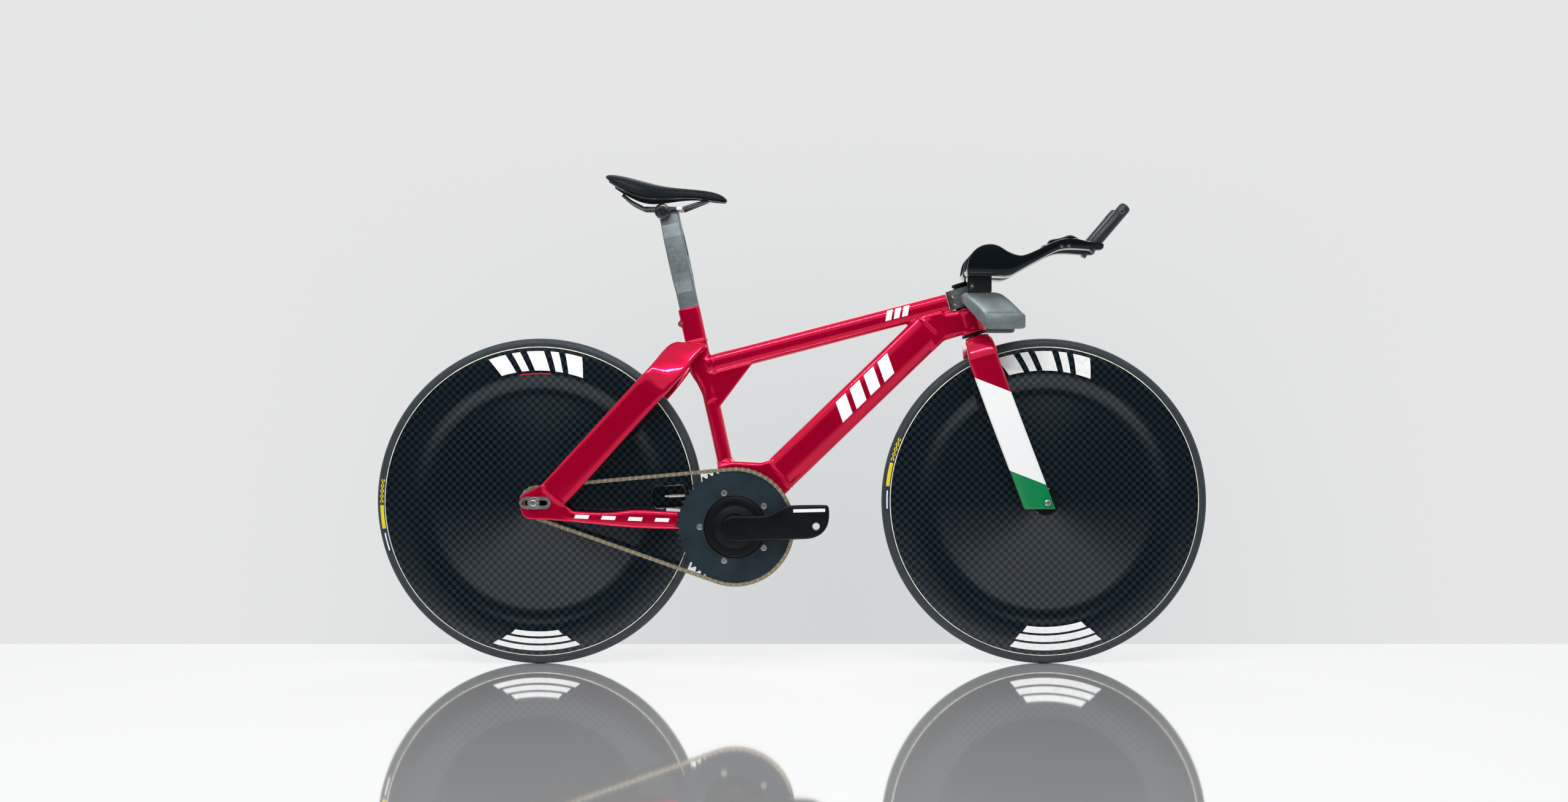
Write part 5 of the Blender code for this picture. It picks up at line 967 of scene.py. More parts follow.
def weld_beads():
    """Beads where the main tubes meet, drawn round each tube's section."""
    ring = []
    for a, s in superellipse(TOP_DEPTH + 0.0006, TOP_WIDTH + 0.0006, 40, 2.9, 2.6):
        spot = TOP_MIDDLE + TOP_UP * a + SIDEWAYS * s
        gap = (spot - seat_point(0.0185, 0)).dot(SEAT_AHEAD) / TOP_ALONG.dot(SEAT_AHEAD)
        ring.append(spot - TOP_ALONG * gap)
    yield bead(ring, 0.0017)
    start = (DOWN_FOOT - DOWN_MIDDLE).dot(DOWN_ALONG) + 0.004
    yield bead([DOWN_MIDDLE + DOWN_ALONG * start + DOWN_UP * a + SIDEWAYS * s
                for a, s in superellipse(DOWN_DEPTH + 0.0004, DOWN_WIDTH + 0.0014, 48, 3.4, 2.7)], 0.0015)
    corner, rear = lug_corner(), TOP_LOW + TOP_ALONG * -0.062
    seam = []
    for a, s in superellipse(DOWN_DEPTH + 0.0004, DOWN_WIDTH + 0.0008, 48, 3.4, 2.7):
        share = (a + DOWN_DEPTH / 2) / DOWN_DEPTH
        base = corner.lerp(rear, share)
        spot = DOWN_MIDDLE + DOWN_UP * a + SIDEWAYS * s
        seam.append(spot + DOWN_ALONG * (base - spot).dot(DOWN_ALONG))
    yield bead(seam, 0.0015)
    yield bead([seat_point((0.0172 - 0.0295) / 2 + a, 0.3870, s)
                for a, s in superellipse(0.0475, 0.0292, 40, 3.5)], 0.0016)
    yield bead([seat_point(a, 0.262, s) for a, s in superellipse(0.0325, 0.0325, 40, 2.0)], 0.0012)
    yield bead([seat_point(a, 0.1345, s) for a, s in superellipse(0.0345, 0.0345, 40, 2.0)], 0.0016)


def remeshed(name, forms, voxel):
    """One smooth skin round several forms that run into each other."""
    piece = new_object(name, merge(forms), 0)
    skin = piece.modifiers.new("skin", "REMESH")
    skin.mode = "VOXEL"
    skin.voxel_size = voxel
    skin.use_smooth_shade = True
    even = piece.modifiers.new("even", "SMOOTH")
    even.factor = 0.5
    even.iterations = 5
    apply_modifiers(piece)
    return piece


def slot_outline(rear, front, half):
    points = []
    for centre, start in ((front - half, -90), (rear + half, 90)):
        for i in range(13):
            angle = math.radians(start + 15 * i)
            points.append((REAR_AXLE.x + centre + half * math.cos(angle),
                           REAR_AXLE.z + half * math.sin(angle)))
    return points


def build_frame():
    forms = [down_tube_form(), top_tube_form(), seat_tube_form(), gusset_form()]
    forms += list(head_forms()) + list(bracket_forms()) + list(weld_beads())
    for side in (-1, 1):
        forms += list(stay_forms(side))
    boss = seat_point(-0.0275, 0.430)
    forms.append(rod(boss, SIDEWAYS, 0.0068, -0.0105, 0.0105, 32, 0.001))
    skin = remeshed("frame_welded", forms, 0.0017)
    post = superellipse(0.0406, 0.0206, 48, 7.0)
    carve(skin, loft([[seat_point(-POST_SETBACK + a, rise, s) for a, s in post] for rise in (0.332, 0.47)]))
    carve(skin, rod(boss, SIDEWAYS, 0.0029, -0.03, 0.03, 24))
    step = [(0, 0.0), (0.0212, 0.0), (0.0212, 0.0135), (0.0173, 0.0135), (0.0173, 0.0535), (0.0212, 0.0535),
            (0.0212, 0.08), (0, 0.08)]
    carve(skin, lathe(step, 64, CROWN_DATUM, STEER_UP, closed=False))
    carve(skin, rod(BRACKET, SIDEWAYS, 0.0178, -0.05, 0.05, 64))
    for side in (-1, 1):
        carve(skin, extruded(slot_outline(-0.0235, 0.0275, 0.0053), *sorted((side * 0.055, side * 0.075))))
    crease(skin, 50)
    place(skin, "frame", "red_paint", FINISH["red"], "head_tube", "top_tube", "down_tube", "seat_tube",
          "bottom_bracket_shell", "chainstay_right", "chainstay_left", "seat_stay_right", "seat_stay_left")


# Fork

# The blades: side distance, rise, ahead, depth, thickness and lean in degrees
FORK_ROWS = ((0.0400, -0.0125, 0.000, 0.0560, 0.0230, 62), (0.0500, -0.0175, 0.000, 0.0560, 0.0220, 45),
             (0.0600, -0.0270, -0.0007, 0.0585, 0.0190, 27), (0.0665, -0.0400, -0.0015, 0.0600, 0.0165, 10),
             (0.0680, -0.0620, -0.0025, 0.0600, 0.0150, 2), (0.0662, -0.1800, 0.0055, 0.0600, 0.0140, 1),
             (0.0583, -0.3000, 0.0155, 0.0600, 0.0120, 1), (0.0560, -0.3640, 0.0205, 0.0600, 0.0100, 0),
             (0.0560, -0.3990, 0.0235, 0.0600, 0.0100, 0))


def build_fork():
    loops = []
    for side in (-0.044, -0.030, 0.0, 0.030, 0.044):
        rise = -0.0110 - max(abs(side) - 0.02, 0) * 0.10
        loops.append([steer_point(a, rise + s, side) for a, s in superellipse(0.0545, 0.0255, 48, 3.4)])
    forms = [loft(loops)]
    for side in (-1, 1):
        loops = []
        for distance, rise, ahead, depth, thickness, lean in curve_through(FORK_ROWS, 5):
            angle = math.radians(lean)
            loops.append([steer_point(ahead + a, rise + s * math.sin(angle),
                                      side * (distance + s * math.cos(angle)))
                          for a, s in superellipse(depth, thickness, 48, 3.6)])
        forms.append(cut_off(loft(loops), Vector((0, 0, WHEEL_RADIUS - 0.0135)), Vector((0, 0, -1))))
    skin = remeshed("fork_moulded", forms, 0.0016)
    stem = lathe([(0.0121, -0.001), (0.0143, -0.004), (0.0143, 0.1035), (0.0121, 0.1035)], 48, CROWN_DATUM,
                 STEER_UP)
    carve(skin, stem, "UNION")
    carve(skin, rod(FRONT_AXLE, SIDEWAYS, 0.0053, -0.09, 0.09, 32))
    crease(skin, 50)
    place(skin, "steering", "fork_paint", FINISH["fork"], "fork_crown", "fork_blade_right", "fork_blade_left")


build_frame()
build_fork()


# Drive train

def pitch_radius(teeth):
    return CHAIN_PITCH / (2 * math.sin(math.pi / teeth))


def chain_line_places():
    """Pin places round the chain, evenly spaced, and the ring's phase that fits them."""
    big, small = pitch_radius(RING_TEETH), pitch_radius(SPROCKET_TEETH)
    axis_line = REAR_AXLE - BRACKET
    along = axis_line.normalized()
    sine = (big - small) / axis_line.length
    cosine = math.sqrt(1 - sine**2)
    normals = [along * sine + Vector((-along.z, 0, along.x)) * -sign * cosine for sign in (1, -1)]
    upper, lower = [math.atan2(n.z, n.x) for n in normals]
    run = axis_line.length * cosine
    front_turn = (upper - lower) % (2 * math.pi)
    rear_turn = 2 * math.pi - front_turn
    spans = [front_turn * big, run, rear_turn * small, run]
    total = sum(spans)
    count = 2 * round(total / CHAIN_PITCH / 2)
    step = total / count
    places = []
    for i in range(count):
        s = i * step
        if s < spans[0]:
            angle = upper - s / big
            spot = BRACKET + Vector((math.cos(angle), 0, math.sin(angle))) * big
        elif s < spans[0] + spans[1]:
            share = (s - spans[0]) / run
            spot = (BRACKET + normals[1] * big).lerp(REAR_AXLE + normals[1] * small, share)
        elif s < sum(spans[:3]):
            angle = lower - (s - spans[0] - run) / small
            spot = REAR_AXLE + Vector((math.cos(angle), 0, math.sin(angle))) * small
        else:
            share = (s - sum(spans[:3])) / run
            spot = (REAR_AXLE + normals[0] * small).lerp(BRACKET + normals[0] * big, share)
        places.append(spot)
    return places, upper


def link_plate(a, b, low, high, half, waist):
    """A side plate: two round ends and a waist."""
    along = (b - a).normalized()
    up = Vector((-along.z, 0, along.x))
    outline = []
    for centre, start in ((b, -90), (a, 90)):
        for i in range(7):
            angle = math.radians(start + 30 * i)
            outline.append(centre + along * half * math.cos(angle) + up * half * math.sin(angle))
        outline.append((a + b) / 2 + up * waist * (1 if start < 0 else -1))
    return loft([[p + Vector((0, y, 0)) for p in outline] for y in (low, high)])


def build_chain():
    places, _ = chain_line_places()
    forms = []
    for i, a in enumerate(places):
        b = places[(i + 1) % len(places)]
        wide = 0.0030 if i % 2 else 0.0021
        for side in (-1, 1):
            low, high = sorted((side * wide - CHAIN_LINE, side * (wide + 0.00085) - CHAIN_LINE))
            forms.append(link_plate(a, b, low, high, 0.0041, 0.0030 if i % 2 else 0.0034))
        forms.append(rod(a, SIDEWAYS, 0.0038, -CHAIN_LINE - 0.0020, -CHAIN_LINE + 0.0020, 14))
        pin = [(0, -0.00415), (0.0012, -0.00410), (0.0018, -0.0038), (0.0018, 0.0038), (0.0012, 0.0041),
               (0, 0.00415)]
        forms.append(lathe([(r, y - CHAIN_LINE) for r, y in pin], 10, a, closed=False))
    place(new_object("chain_links", merge(forms), 35), "frame", "pale_gold_steel", FINISH["gold"], "chain")


def toothed_outline(teeth, phase, centre, tip=0.0040, root=0.0038):
    pitch = pitch_radius(teeth)
    outline = []
    for i in range(teeth):
        for share, rise in ((0.0, -root), (0.16, -root * 0.80), (0.27, -root * 0.05), (0.37, tip * 0.62),
                            (0.44, tip),
                            (0.56, tip), (0.63, tip * 0.62), (0.73, -root * 0.05), (0.84, -root * 0.80)):
            angle = phase - 2 * math.pi * (i + share) / teeth
            outline.append((centre.x + (pitch + rise) * math.cos(angle),
                            centre.z + (pitch + rise) * math.sin(angle)))
    return outline


def bolt_angles():
    for i in range(5):
        yield math.radians(180.0) + 2 * math.pi * i / 5


def ring_at(radius, angle, y=0.0):
    return BRACKET + Vector((radius * math.cos(angle), y, radius * math.sin(angle)))


def build_chainring():
    _, phase = chain_line_places()
    low, high = -CHAIN_LINE - 0.0015, -CHAIN_LINE + 0.0015
    outline = toothed_outline(RING_TEETH, phase, BRACKET)
    ring = new_object("chainring_toothed", extruded(outline, low + 0.0004, high - 0.0004), 35)
    face = [(0.0636, low), (0.1080, low), (0.1125, low + 0.0006), (0.1125, high - 0.0006), (0.1080, high),
            (0.0636, high)]
    carve(ring, lathe(face, 160, BRACKET), "UNION")
    carve(ring, rod(BRACKET, SIDEWAYS, 0.0636, -0.06, -0.03, 160))
    for angle in bolt_angles():
        carve(ring, rod(ring_at(BOLT_CIRCLE_RADIUS, angle), SIDEWAYS, 0.0053, -0.06, -0.03, 24))
    crease(ring, 30)
    place(ring, "crankset", "anodised_black", FINISH["ring_black"], "chainring")


def hex_cut(centre, flats, low, high):
    """A hexagonal socket along Y."""
    reach = flats / 2 / math.cos(math.pi / 6)
    outline = [(centre.x + reach * math.cos(math.pi / 3 * i), centre.z + reach * math.sin(math.pi / 3 * i))
               for i in range(6)]
    return extruded(outline, low, high)


def build_ring_bolts():
    outer = -CHAIN_LINE - 0.0015 - GAP
    bolts = []
    for angle in bolt_angles():
        centre = ring_at(BOLT_CIRCLE_RADIUS, angle)
        profile = [(0, outer - 0.0016), (0.0040, outer - 0.0018), (0.0056, outer - 0.0016),
                   (0.0063, outer - 0.0009),
                   (0.0063, outer), (0.0050, outer), (0.0050, -CHAIN_LINE + 0.0066),
                   (0, -CHAIN_LINE + 0.0066)]
        bolt = new_object("bolt", lathe(profile, 32, centre, closed=False), 30)
        carve(bolt, hex_cut(centre, 0.0050, outer - 0.004, outer + 0.0012))
        bolts.append(taken(bolt))
    place(new_object("ring_bolts", merge(bolts), 30), "crankset", "bright_steel", FINISH["steel"],
          *["chainring_bolt_%d" % n for n in range(1, 6)])


def crank_outline():
    rows = ((-0.0262, 0.0), (-0.0235, 0.0120), (-0.0150, 0.0205), (0.0, 0.0250), (0.0250, 0.0245),
            (0.0560, 0.0240),
            (0.0740, 0.0278), (0.0880, 0.0345), (0.1010, 0.0400), (0.1150, 0.0428), (0.1500, 0.0430),
            (0.1830, 0.0424),
            (0.1890, 0.0405), (0.1915, 0.0350), (0.1918, 0.0200), (0.1895, 0.0060), (0.1840, -0.0060),
            (0.1750, -0.0155), (0.1640, -0.0215), (0.1500, -0.0248), (0.1200, -0.0256), (0.0600, -0.0264),
            (0.0, -0.0270), (-0.0150, -0.0220), (-0.0238, -0.0120))
    path = curve_through(rows[-2:] + rows + rows[:2], 4)
    return [Vector((x, z)) for x, z in path[8:8 + 4 * len(rows)]]


def crank_arm(name, side):
    """An arm with its boss; the right one carries the spider that the ring is bolted to."""
    facing = -side
    turn = Matrix.Rotation(-CRANK_ANGLE, 3, "Y")
    outer, inner = side * CRANK_OUTER_FACE, side * CRANK_INNER_FACE
    loops = []
    outline = crank_outline()
    levels = [(outer - side * 0.0045 * (1 - math.cos(math.pi / 2 * i / 4)),
               0.0045 * (1 - math.sin(math.pi / 2 * i / 4)))
              for i in range(5)]
    levels += [(inner + side * 0.003, 0.0), (inner, 0.003)]
    for y, inset in levels:
        loop = []
        for j, spot in enumerate(outline):
            before, after = outline[j - 1], outline[(j + 1) % len(outline)]
            along = (after - before).normalized()
            normal = Vector((along.y, -along.x))
            if normal.dot(spot - Vector((0.08, 0.005))) > 0:
                normal = -normal
            moved = spot + normal * inset
            loop.append(BRACKET + turn @ Vector((facing * moved.x, y, moved.y if side < 0 else -moved.y)))
        loops.append(loop)
    arm = new_object("crank_%s_forged" % name, loft(loops), 30)
    boss_inner, boss_outer = sorted((side * 0.0371, side * 0.0745))
    carve(arm, rod(BRACKET, SIDEWAYS, 0.0262, boss_inner, boss_outer, 72, 0.001), "UNION")
    if side < 0:
        near = -CHAIN_LINE + 0.0015 + GAP
        hub = [(0.010, near - 0.0012), (0.010, -0.0610), (0.0290, -0.0610), (0.0330, -0.0575),
               (0.0400, -0.0520),
               (0.0440, -0.0500), (0.0446, -0.0492), (0.0446, near - 0.0046), (0.0452, near - 0.0040),
               (0.0520, near - 0.0034), (0.0610, near - 0.0022), (0.0628, near - 0.0010),
               (0.0628, near + 0.0001),
               (0.0668, near + 0.0001), (0.0668, near + 0.0043), (0.010, near + 0.0043)]
        carve(arm, lathe(hub, 128, BRACKET), "UNION")
        outline = []
        for angle in bolt_angles():
            for shift, radius in ((-0.36, 0.052), (-0.15, 0.0765), (-0.08, 0.0792), (0.08, 0.0792),
                                  (0.15, 0.0765),
                                  (0.36, 0.052)):
                spot = ring_at(radius, angle + shift)
                outline.append((spot.x, spot.z))
        carve(arm, extruded(outline, near, near + 0.0042), "UNION")
        for angle in bolt_angles():
            carve(arm, rod(ring_at(BOLT_CIRCLE_RADIUS, angle), SIDEWAYS, 0.0053, -CHAIN_LINE - 0.002, -0.02,
                           24))
    carve(arm, rod(BRACKET, SIDEWAYS, 0.0123, *sorted((side * 0.02, side * 0.1)), 48))
    pedal = BRACKET + turn @ Vector((facing * CRANK_LENGTH, 0, 0))
    carve(arm, rod(pedal, SIDEWAYS, 0.00715, *sorted((side * 0.05, side * 0.1)), 40))
    crease(arm, 32)
    place(arm, "crankset", "anodised_black", FINISH["satin_black"], "crank_arm_" + name)
    ring = lathe(faced(side, outer, ((0.0072, -0.004), (0.0072, -0.0001), (0.0080, 0.00005),
                                     (0.0088, -0.0002),
                                     (0.0088, -0.004))), 40, pedal)
    place(new_object("pedal_insert_" + name, ring, 40), "crankset", "bright_steel", FINISH["steel"])
    cap = faced(side, outer, ((0, -0.0040), (0.0060, -0.0040), (0.0062, -0.0022), (0.0085, -0.0020),
                              (0.0090, -0.0010),
                              (0.0119, -0.0008), (0.0121, -0.0014), (0.0121, -0.0019),
                              (0.0058, -0.0019 * 2.6),
                              (0, -0.0050)))
    place(new_object("crank_cap_" + name, lathe(cap, 48, BRACKET, closed=False), 30), "crankset",
          "anodised_black",
          FINISH["trim_black"])
    corners = [turn @ Vector((facing * x, 0, z if side < 0 else -z))
               for x, z in ((0.1200, 0.0290), (0.1840, 0.0290), (0.1840, 0.0355), (0.1200, 0.0355))]
    block = extruded([(BRACKET.x + spot.x, BRACKET.z + spot.z) for spot in corners],
                     *sorted((outer, outer + side * 0.00010)))
    place(new_object("crank_block_" + name, block, 40), "crankset", "anodised_black", FINISH["white"])


def build_axle_ends():
    """Bolt heads with their washers at both ends of the rear axle."""
    for name, side in (("right", -1), ("left", 1)):
        near = side * 0.0704
        washer = lathe(faced(side, near, ((0.0053, 0), (0.0118, 0), (0.0120, 0.0004), (0.0120, 0.0016),
                                          (0.0115, 0.0020), (0.0053, 0.0020))), 48, REAR_AXLE)
        rows = ((0, 0.0021), (0.0078, 0.0021), (0.0080, 0.0040), (0.0080, 0.0080), (0.0068, 0.0093),
                (0.0040, 0.0095), (0, 0.0095))
        head = new_object("head", lathe(faced(side, near, rows), 6, REAR_AXLE, closed=False), 30)
        carve(head, hex_cut(REAR_AXLE, 0.0052, *sorted((near + side * 0.0050, near + side * 0.02))))
        soften(head, 0.0005)
        apply_modifiers(head)
        place(new_object("axle_bolt_" + name, merge([washer, taken(head)]), 30), "frame", "bright_steel",
              FINISH["steel"], "axle_nut_" + name)


build_chain()
build_chainring()
build_ring_bolts()
crank_arm("right", -1)
crank_arm("left", 1)
build_axle_ends()
for node, kind, edge in (("dropout_insert_right", "steel", 0.0004), ("dropout_insert_left", "steel", 0.0004),
                         ("rear_axle", "steel", 0.0003), ("crank_spindle", "trim_black", 0.0003),
                         ("sprocket", "steel", 0.0003), ("sprocket_lockring", "satin_black", 0.0005),
                         ("rear_hub", "satin_black", 0.0006), ("rear_valve", "steel", 0.0003),
                         ("bracket_cup_right", "satin_black", 0.0004),
                         ("bracket_cup_left", "satin_black", 0.0004),
                         ("seatpost_binder_bolt", "steel", 0.0004),
                         ("headset_bearing_upper", "trim_black", 0.0004),
                         ("headset_bearing_lower", "trim_black", 0.0004),
                         ("front_hub", "satin_black", 0.0008),
                         ("front_axle", "steel", 0.0004), ("front_axle_nut", "steel", 0.0005)):
    dress(node, FINISH[kind], edge)


# Handlebar, stem and forearm rests

BAR_ROWS = (
    # side, rear, front, bottom, top, section power
    (0.0000, 0.3450, 0.4205, 0.7335, 0.7598, 4.5), (0.0300, 0.3450, 0.4208, 0.7335, 0.7598, 4.5),
    (0.0450, 0.3450, 0.4216, 0.7332, 0.7598, 4.5), (0.0560, 0.3468, 0.4240, 0.7312, 0.7594, 4.8),
    (0.0640, 0.3510, 0.4285, 0.7262, 0.7568, 5.5), (0.0720, 0.3590, 0.4368, 0.7165, 0.7498, 6.0),
    (0.0800, 0.3690, 0.4465, 0.7048, 0.7398, 6.5), (0.0870, 0.3790, 0.4560, 0.6940, 0.7290, 7.0),
    (0.0920, 0.3855, 0.4630, 0.6865, 0.7205, 7.5), (0.0950, 0.3880, 0.4675, 0.6838, 0.7160, 8.0),
    (0.0964, 0.3884, 0.4690, 0.6834, 0.7148, 8.0), (0.0969, 0.3892, 0.4682, 0.6842, 0.7140, 8.0))


def build_base_bar():
    half = curve_through(BAR_ROWS, 4)
    loops = []
    for side, row in [(-1, r) for r in reversed(half[1:])] + [(1, r) for r in half]:
        distance, rear, front, bottom, top, power = row
        loops.append([Vector(((front + rear) / 2 + a, side * distance, (top + bottom) / 2 + s))
                      for a, s in superellipse(front - rear, top - bottom, 72, power)])
    bar = new_object("base_bar_machined", loft(loops), 30)
    notch = ((-0.06, -0.0183), (0.0213, -0.0183), (0.0213, 0.0183), (-0.06, 0.0183))
    carve(bar, loft([[steer_point(a, rise, s) for a, s in notch] for rise in (0.0455, 0.1345)]))
    carve(bar, rod(CROWN_DATUM, STEER_UP, 0.0285, 0.0355, 0.0655, 64))
    soften(bar, 0.0007, 2, 40)
    apply_modifiers(bar)
    bar.data.set_sharp_from_angle(angle=math.radians(35))
    place(bar, "steering", "bare_aluminium", FINISH["raw"], "base_bar")


def build_stem():
    half, rear, chamfer = 0.018, -0.0325, 0.009
    bolts = [steer_point(-0.0225, rise) for rise in (0.0760, 0.0925)]
    plan = [(rear, -half + chamfer), (rear + chamfer, -half), (0.021, -half), (0.021, half),
            (rear + chamfer, half), (rear, half - chamfer)]
    body = loft([[steer_point(a, rise, s) for a, s in plan] for rise in (0.0655, 0.1045)])
    stem = new_object("stem_machined", body, 30)
    carve(stem, rod(CROWN_DATUM, STEER_UP, 0.0146, 0.05, 0.12, 48))
    slit = ((-0.05, -0.001), (-0.01, -0.001), (-0.01, 0.001), (-0.05, 0.001))
    carve(stem, loft([[steer_point(a, rise, s) for a, s in slit] for rise in (0.05, 0.12)]))
    for spot in bolts:
        carve(stem, rod(spot, SIDEWAYS, 0.0028, -0.03, 0.0145, 24))
        carve(stem, rod(spot, SIDEWAYS, 0.0045, -0.03, -half + 0.0045, 32))
    soften(stem, 0.0008, 3, 40)
    apply_modifiers(stem)
    place(stem, "steering", "bare_aluminium", FINISH["stem"], "stem")
    profile = faced(-1, -half, ((0, -0.0022), (0.0016, -0.0020), (0.0024, 0.0002), (0.0040, 0.0002),
                                (0.0042, -0.0004),
                                (0.0042, -0.0042), (0.0025, -0.0042))) + [(0.0025, 0.0140), (0, 0.0140)]
    forms = [lathe(profile, 32, spot, closed=False) for spot in bolts]
    place(new_object("stem_bolts", merge(forms), 30), "steering", "bright_steel", FINISH["steel"],
          "stem_bolt_lower", "stem_bolt_upper")
    cap = [(0, 0.1048), (0.0160, 0.1048), (0.0160, 0.1066), (0.0142, 0.1072), (0.0142, 0.1084),
           (0.0172, 0.1092),
           (0.0175, 0.1098), (0.0175, 0.1132), (0.0160, 0.1145), (0.0120, 0.1144), (0.0105, 0.1130),
           (0.0060, 0.1130),
           (0.0050, 0.1110), (0, 0.1110)]
    lid = new_object("top_cap_turned", lathe(cap, 72, CROWN_DATUM, STEER_UP, closed=False), 28)
    place(lid, "steering", "black_trim", FINISH["trim_black"], "top_cap")


def build_riser():
    """The block under the forearm rests with its two clamp bolts."""
    bolt = Vector((0.3650, 0, 0.7720))
    plan = [(0.3560, -0.061), (0.4050, -0.061), (0.4050, 0.061), (0.3560, 0.061), (0.3560, 0.024),
            (0.3745, 0.024),
            (0.3745, -0.024), (0.3560, -0.024)]
    block = new_object("riser_milled", loft([[Vector((x, y, z)) for x, y in plan] for z in (0.7603, 0.7903)]),
                       30)
    for side in (-1, 1):
        carve(block, rod(bolt, SIDEWAYS, 0.0042, *sorted((side * 0.0575, side * 0.07)), 32))
    soften(block, 0.0012, 3, 40)
    apply_modifiers(block)
    place(block, "steering", "anodised_black", FINISH["gloss"], "riser_block")
    rows = ((0, -0.0016), (0.0018, -0.0014), (0.0022, 0), (0.0034, 0), (0.0039, -0.0006), (0.0039, -0.0028),
            (0, -0.0028))
    forms = [lathe(faced(side, side * 0.0606, rows), 32, bolt, closed=False) for side in (-1, 1)]
    place(new_object("riser_bolts", merge(forms), 30), "steering", "bright_steel", FINISH["steel"])


ARM_ROWS = (
    # ahead, underside, rim, channel floor and half width
    (0.3522, 0.7990, 0.8020, 0.8005, 0.0350), (0.3540, 0.7945, 0.8140, 0.7995, 0.0400),
    (0.3575, 0.7918, 0.8275, 0.7990, 0.0432), (0.3640, 0.7910, 0.8380, 0.7985, 0.0450),
    (0.3740, 0.7908, 0.8470, 0.7980, 0.0462), (0.3870, 0.7908, 0.8525, 0.7975, 0.0468),
    (0.4000, 0.7904, 0.8538, 0.7975, 0.0464), (0.4100, 0.7900, 0.8525, 0.7975, 0.0455),
    (0.4210, 0.7895, 0.8480, 0.7985, 0.0430), (0.4320, 0.7890, 0.8410, 0.8010, 0.0400),
    (0.4440, 0.7915, 0.8355, 0.8050, 0.0365), (0.4560, 0.7985, 0.8325, 0.8090, 0.0332),
    (0.4680, 0.8055, 0.8325, 0.8140, 0.0302), (0.4900, 0.8182, 0.8415, 0.8240, 0.0262),
    (0.5150, 0.8318, 0.8540, 0.8375, 0.0240), (0.5280, 0.8385, 0.8600, 0.8440, 0.0232),
    (0.5400, 0.8435, 0.8642, 0.8492, 0.0226), (0.5500, 0.8457, 0.8665, 0.8515, 0.0223),
    (0.5600, 0.8465, 0.8678, 0.8525, 0.0220), (0.5700, 0.8464, 0.8674, 0.8526, 0.0211),
    (0.5800, 0.8460, 0.8658, 0.8525, 0.0200), (0.6000, 0.8446, 0.8612, 0.8520, 0.0180),
    (0.6200, 0.8437, 0.8582, 0.8522, 0.0160), (0.6280, 0.8455, 0.8572, 0.8530, 0.0145),
    (0.6308, 0.8495, 0.8562, 0.8542, 0.0128))


def arm_section(ahead, under, rim, floor, half, side):
    """Across a forearm rest: a trough with rolled rims and a rounded underside."""
    wall = 0.0028
    deep = min(floor - under, 0.014)
    flare = 0.0016
    line = [(-half, rim), (-half + 0.0004, rim - 0.30 * (rim - under)), (-half + 0.0012, under + deep),
            (-half * 0.90, under + deep * 0.35), (-half * 0.70, under), (0, under - 0.0001)]
    inner = [(-half + wall, rim - flare * 0.2), (-half + wall + 0.0006, floor + 0.5 * (rim - floor)),
             (-half * 0.82, floor + 0.14 * (rim - floor)), (-half * 0.55, floor + 0.001), (0, floor)]
    points = line + [(-y, z) for y, z in reversed(line[:-1])] + [(-y, z) for y,
                                                                 z in inner[:-1]] + list(reversed(inner))
    return [Vector((ahead, side * ARM_SPREAD + y, z)) for y, z in points]


def build_arm(name, side):
    rows = curve_through(ARM_ROWS, 2)
    rest = new_object("forearm_shell_" + name, loft([arm_section(*row, side) for row in rows]), 60)
    subdivided(rest)
    place(rest, "steering", "gloss_carbon", FINISH["rest_weave"], "forearm_rest_" + name)

    foot = Vector((0.60456, side * ARM_SPREAD, 0.84828))
    rise = Vector((math.cos(GRIP_SLOPE), 0, math.sin(GRIP_SLOPE)))
    collar = [(0, -0.004), (0.0116, -0.004), (0.0119, 0.0), (0.0112, 0.008), (0.0112, 0.012), (0.0119, 0.014),
              (0.0122, 0.0155), (0.0122, 0.0865), (0.0118, 0.0873), (0.0118, 0.0881), (0.0122, 0.0889),
              (0.0122, 0.1050),
              (0.0119, 0.1085), (0.0108, 0.1110), (0.0085, 0.1128), (0.0050, 0.1137), (0, 0.1139)]
    grip = new_object("grip_" + name, lathe(collar, 56, foot, rise, closed=False), 50)
    place(grip, "steering", "black_trim", FINISH["grip"])
    across = Vector((0, side, 0))
    button = foot + rise * 0.0965
    ring = lathe([(0.0036, 0.0100), (0.0052, 0.0100), (0.0052, 0.01215), (0.0046, 0.01255), (0.0040, 0.01245),
                  (0.0036, 0.0118)], 40, button, across)
    place(new_object("grip_button_" + name, ring, 30), "steering", "black_trim", FINISH["button"])
    build_hand_rest(name, side)

    forms = []
    for x, z, y in ((0.5440, 0.8510, 0.0227), (0.5590, 0.8515, 0.0222)):
        head = Vector((x, side * ARM_SPREAD, z))
        profile = [(0, y - 0.0022), (0.0012, y - 0.0020), (0.0014, y - 0.0006), (0.0024, y - 0.0006),
                   (0.0029, y - 0.0012), (0.0029, y - 0.004), (0, y - 0.004)]
        forms.append(lathe(profile, 24, head, across, closed=False))
    place(new_object("rest_bolts_" + name, merge(forms), 30), "steering", "bright_steel", FINISH["steel"])


def build_hand_rest(name, side):
    """A crowned rest for the palm over the front of the channel."""
    loops = []
    rows = curve_through(((0.5190, 0.8610, 0.0060, 0.0120), (0.5240, 0.8655, 0.0085, 0.0150),
                          (0.5400, 0.8682, 0.0090, 0.0165),
                          (0.5500, 0.8712, 0.0090, 0.0165), (0.5600, 0.8745, 0.0095, 0.0165),
                          (0.5680, 0.8738, 0.0095, 0.0160), (0.5780, 0.8690, 0.0085, 0.0145),
                          (0.5840, 0.8640, 0.0060, 0.0115)), 3)
    for ahead, top, thick, half in rows:
        loops.append([Vector((ahead, side * ARM_SPREAD + s, top - thick / 2 + a))
                      for a, s in superellipse(thick, 2 * half, 28, 3.0)])
    rest = new_object("palm_rest_" + name, loft(loops), 50)
    place(rest, "steering", "gloss_carbon", FINISH["satin_black"])


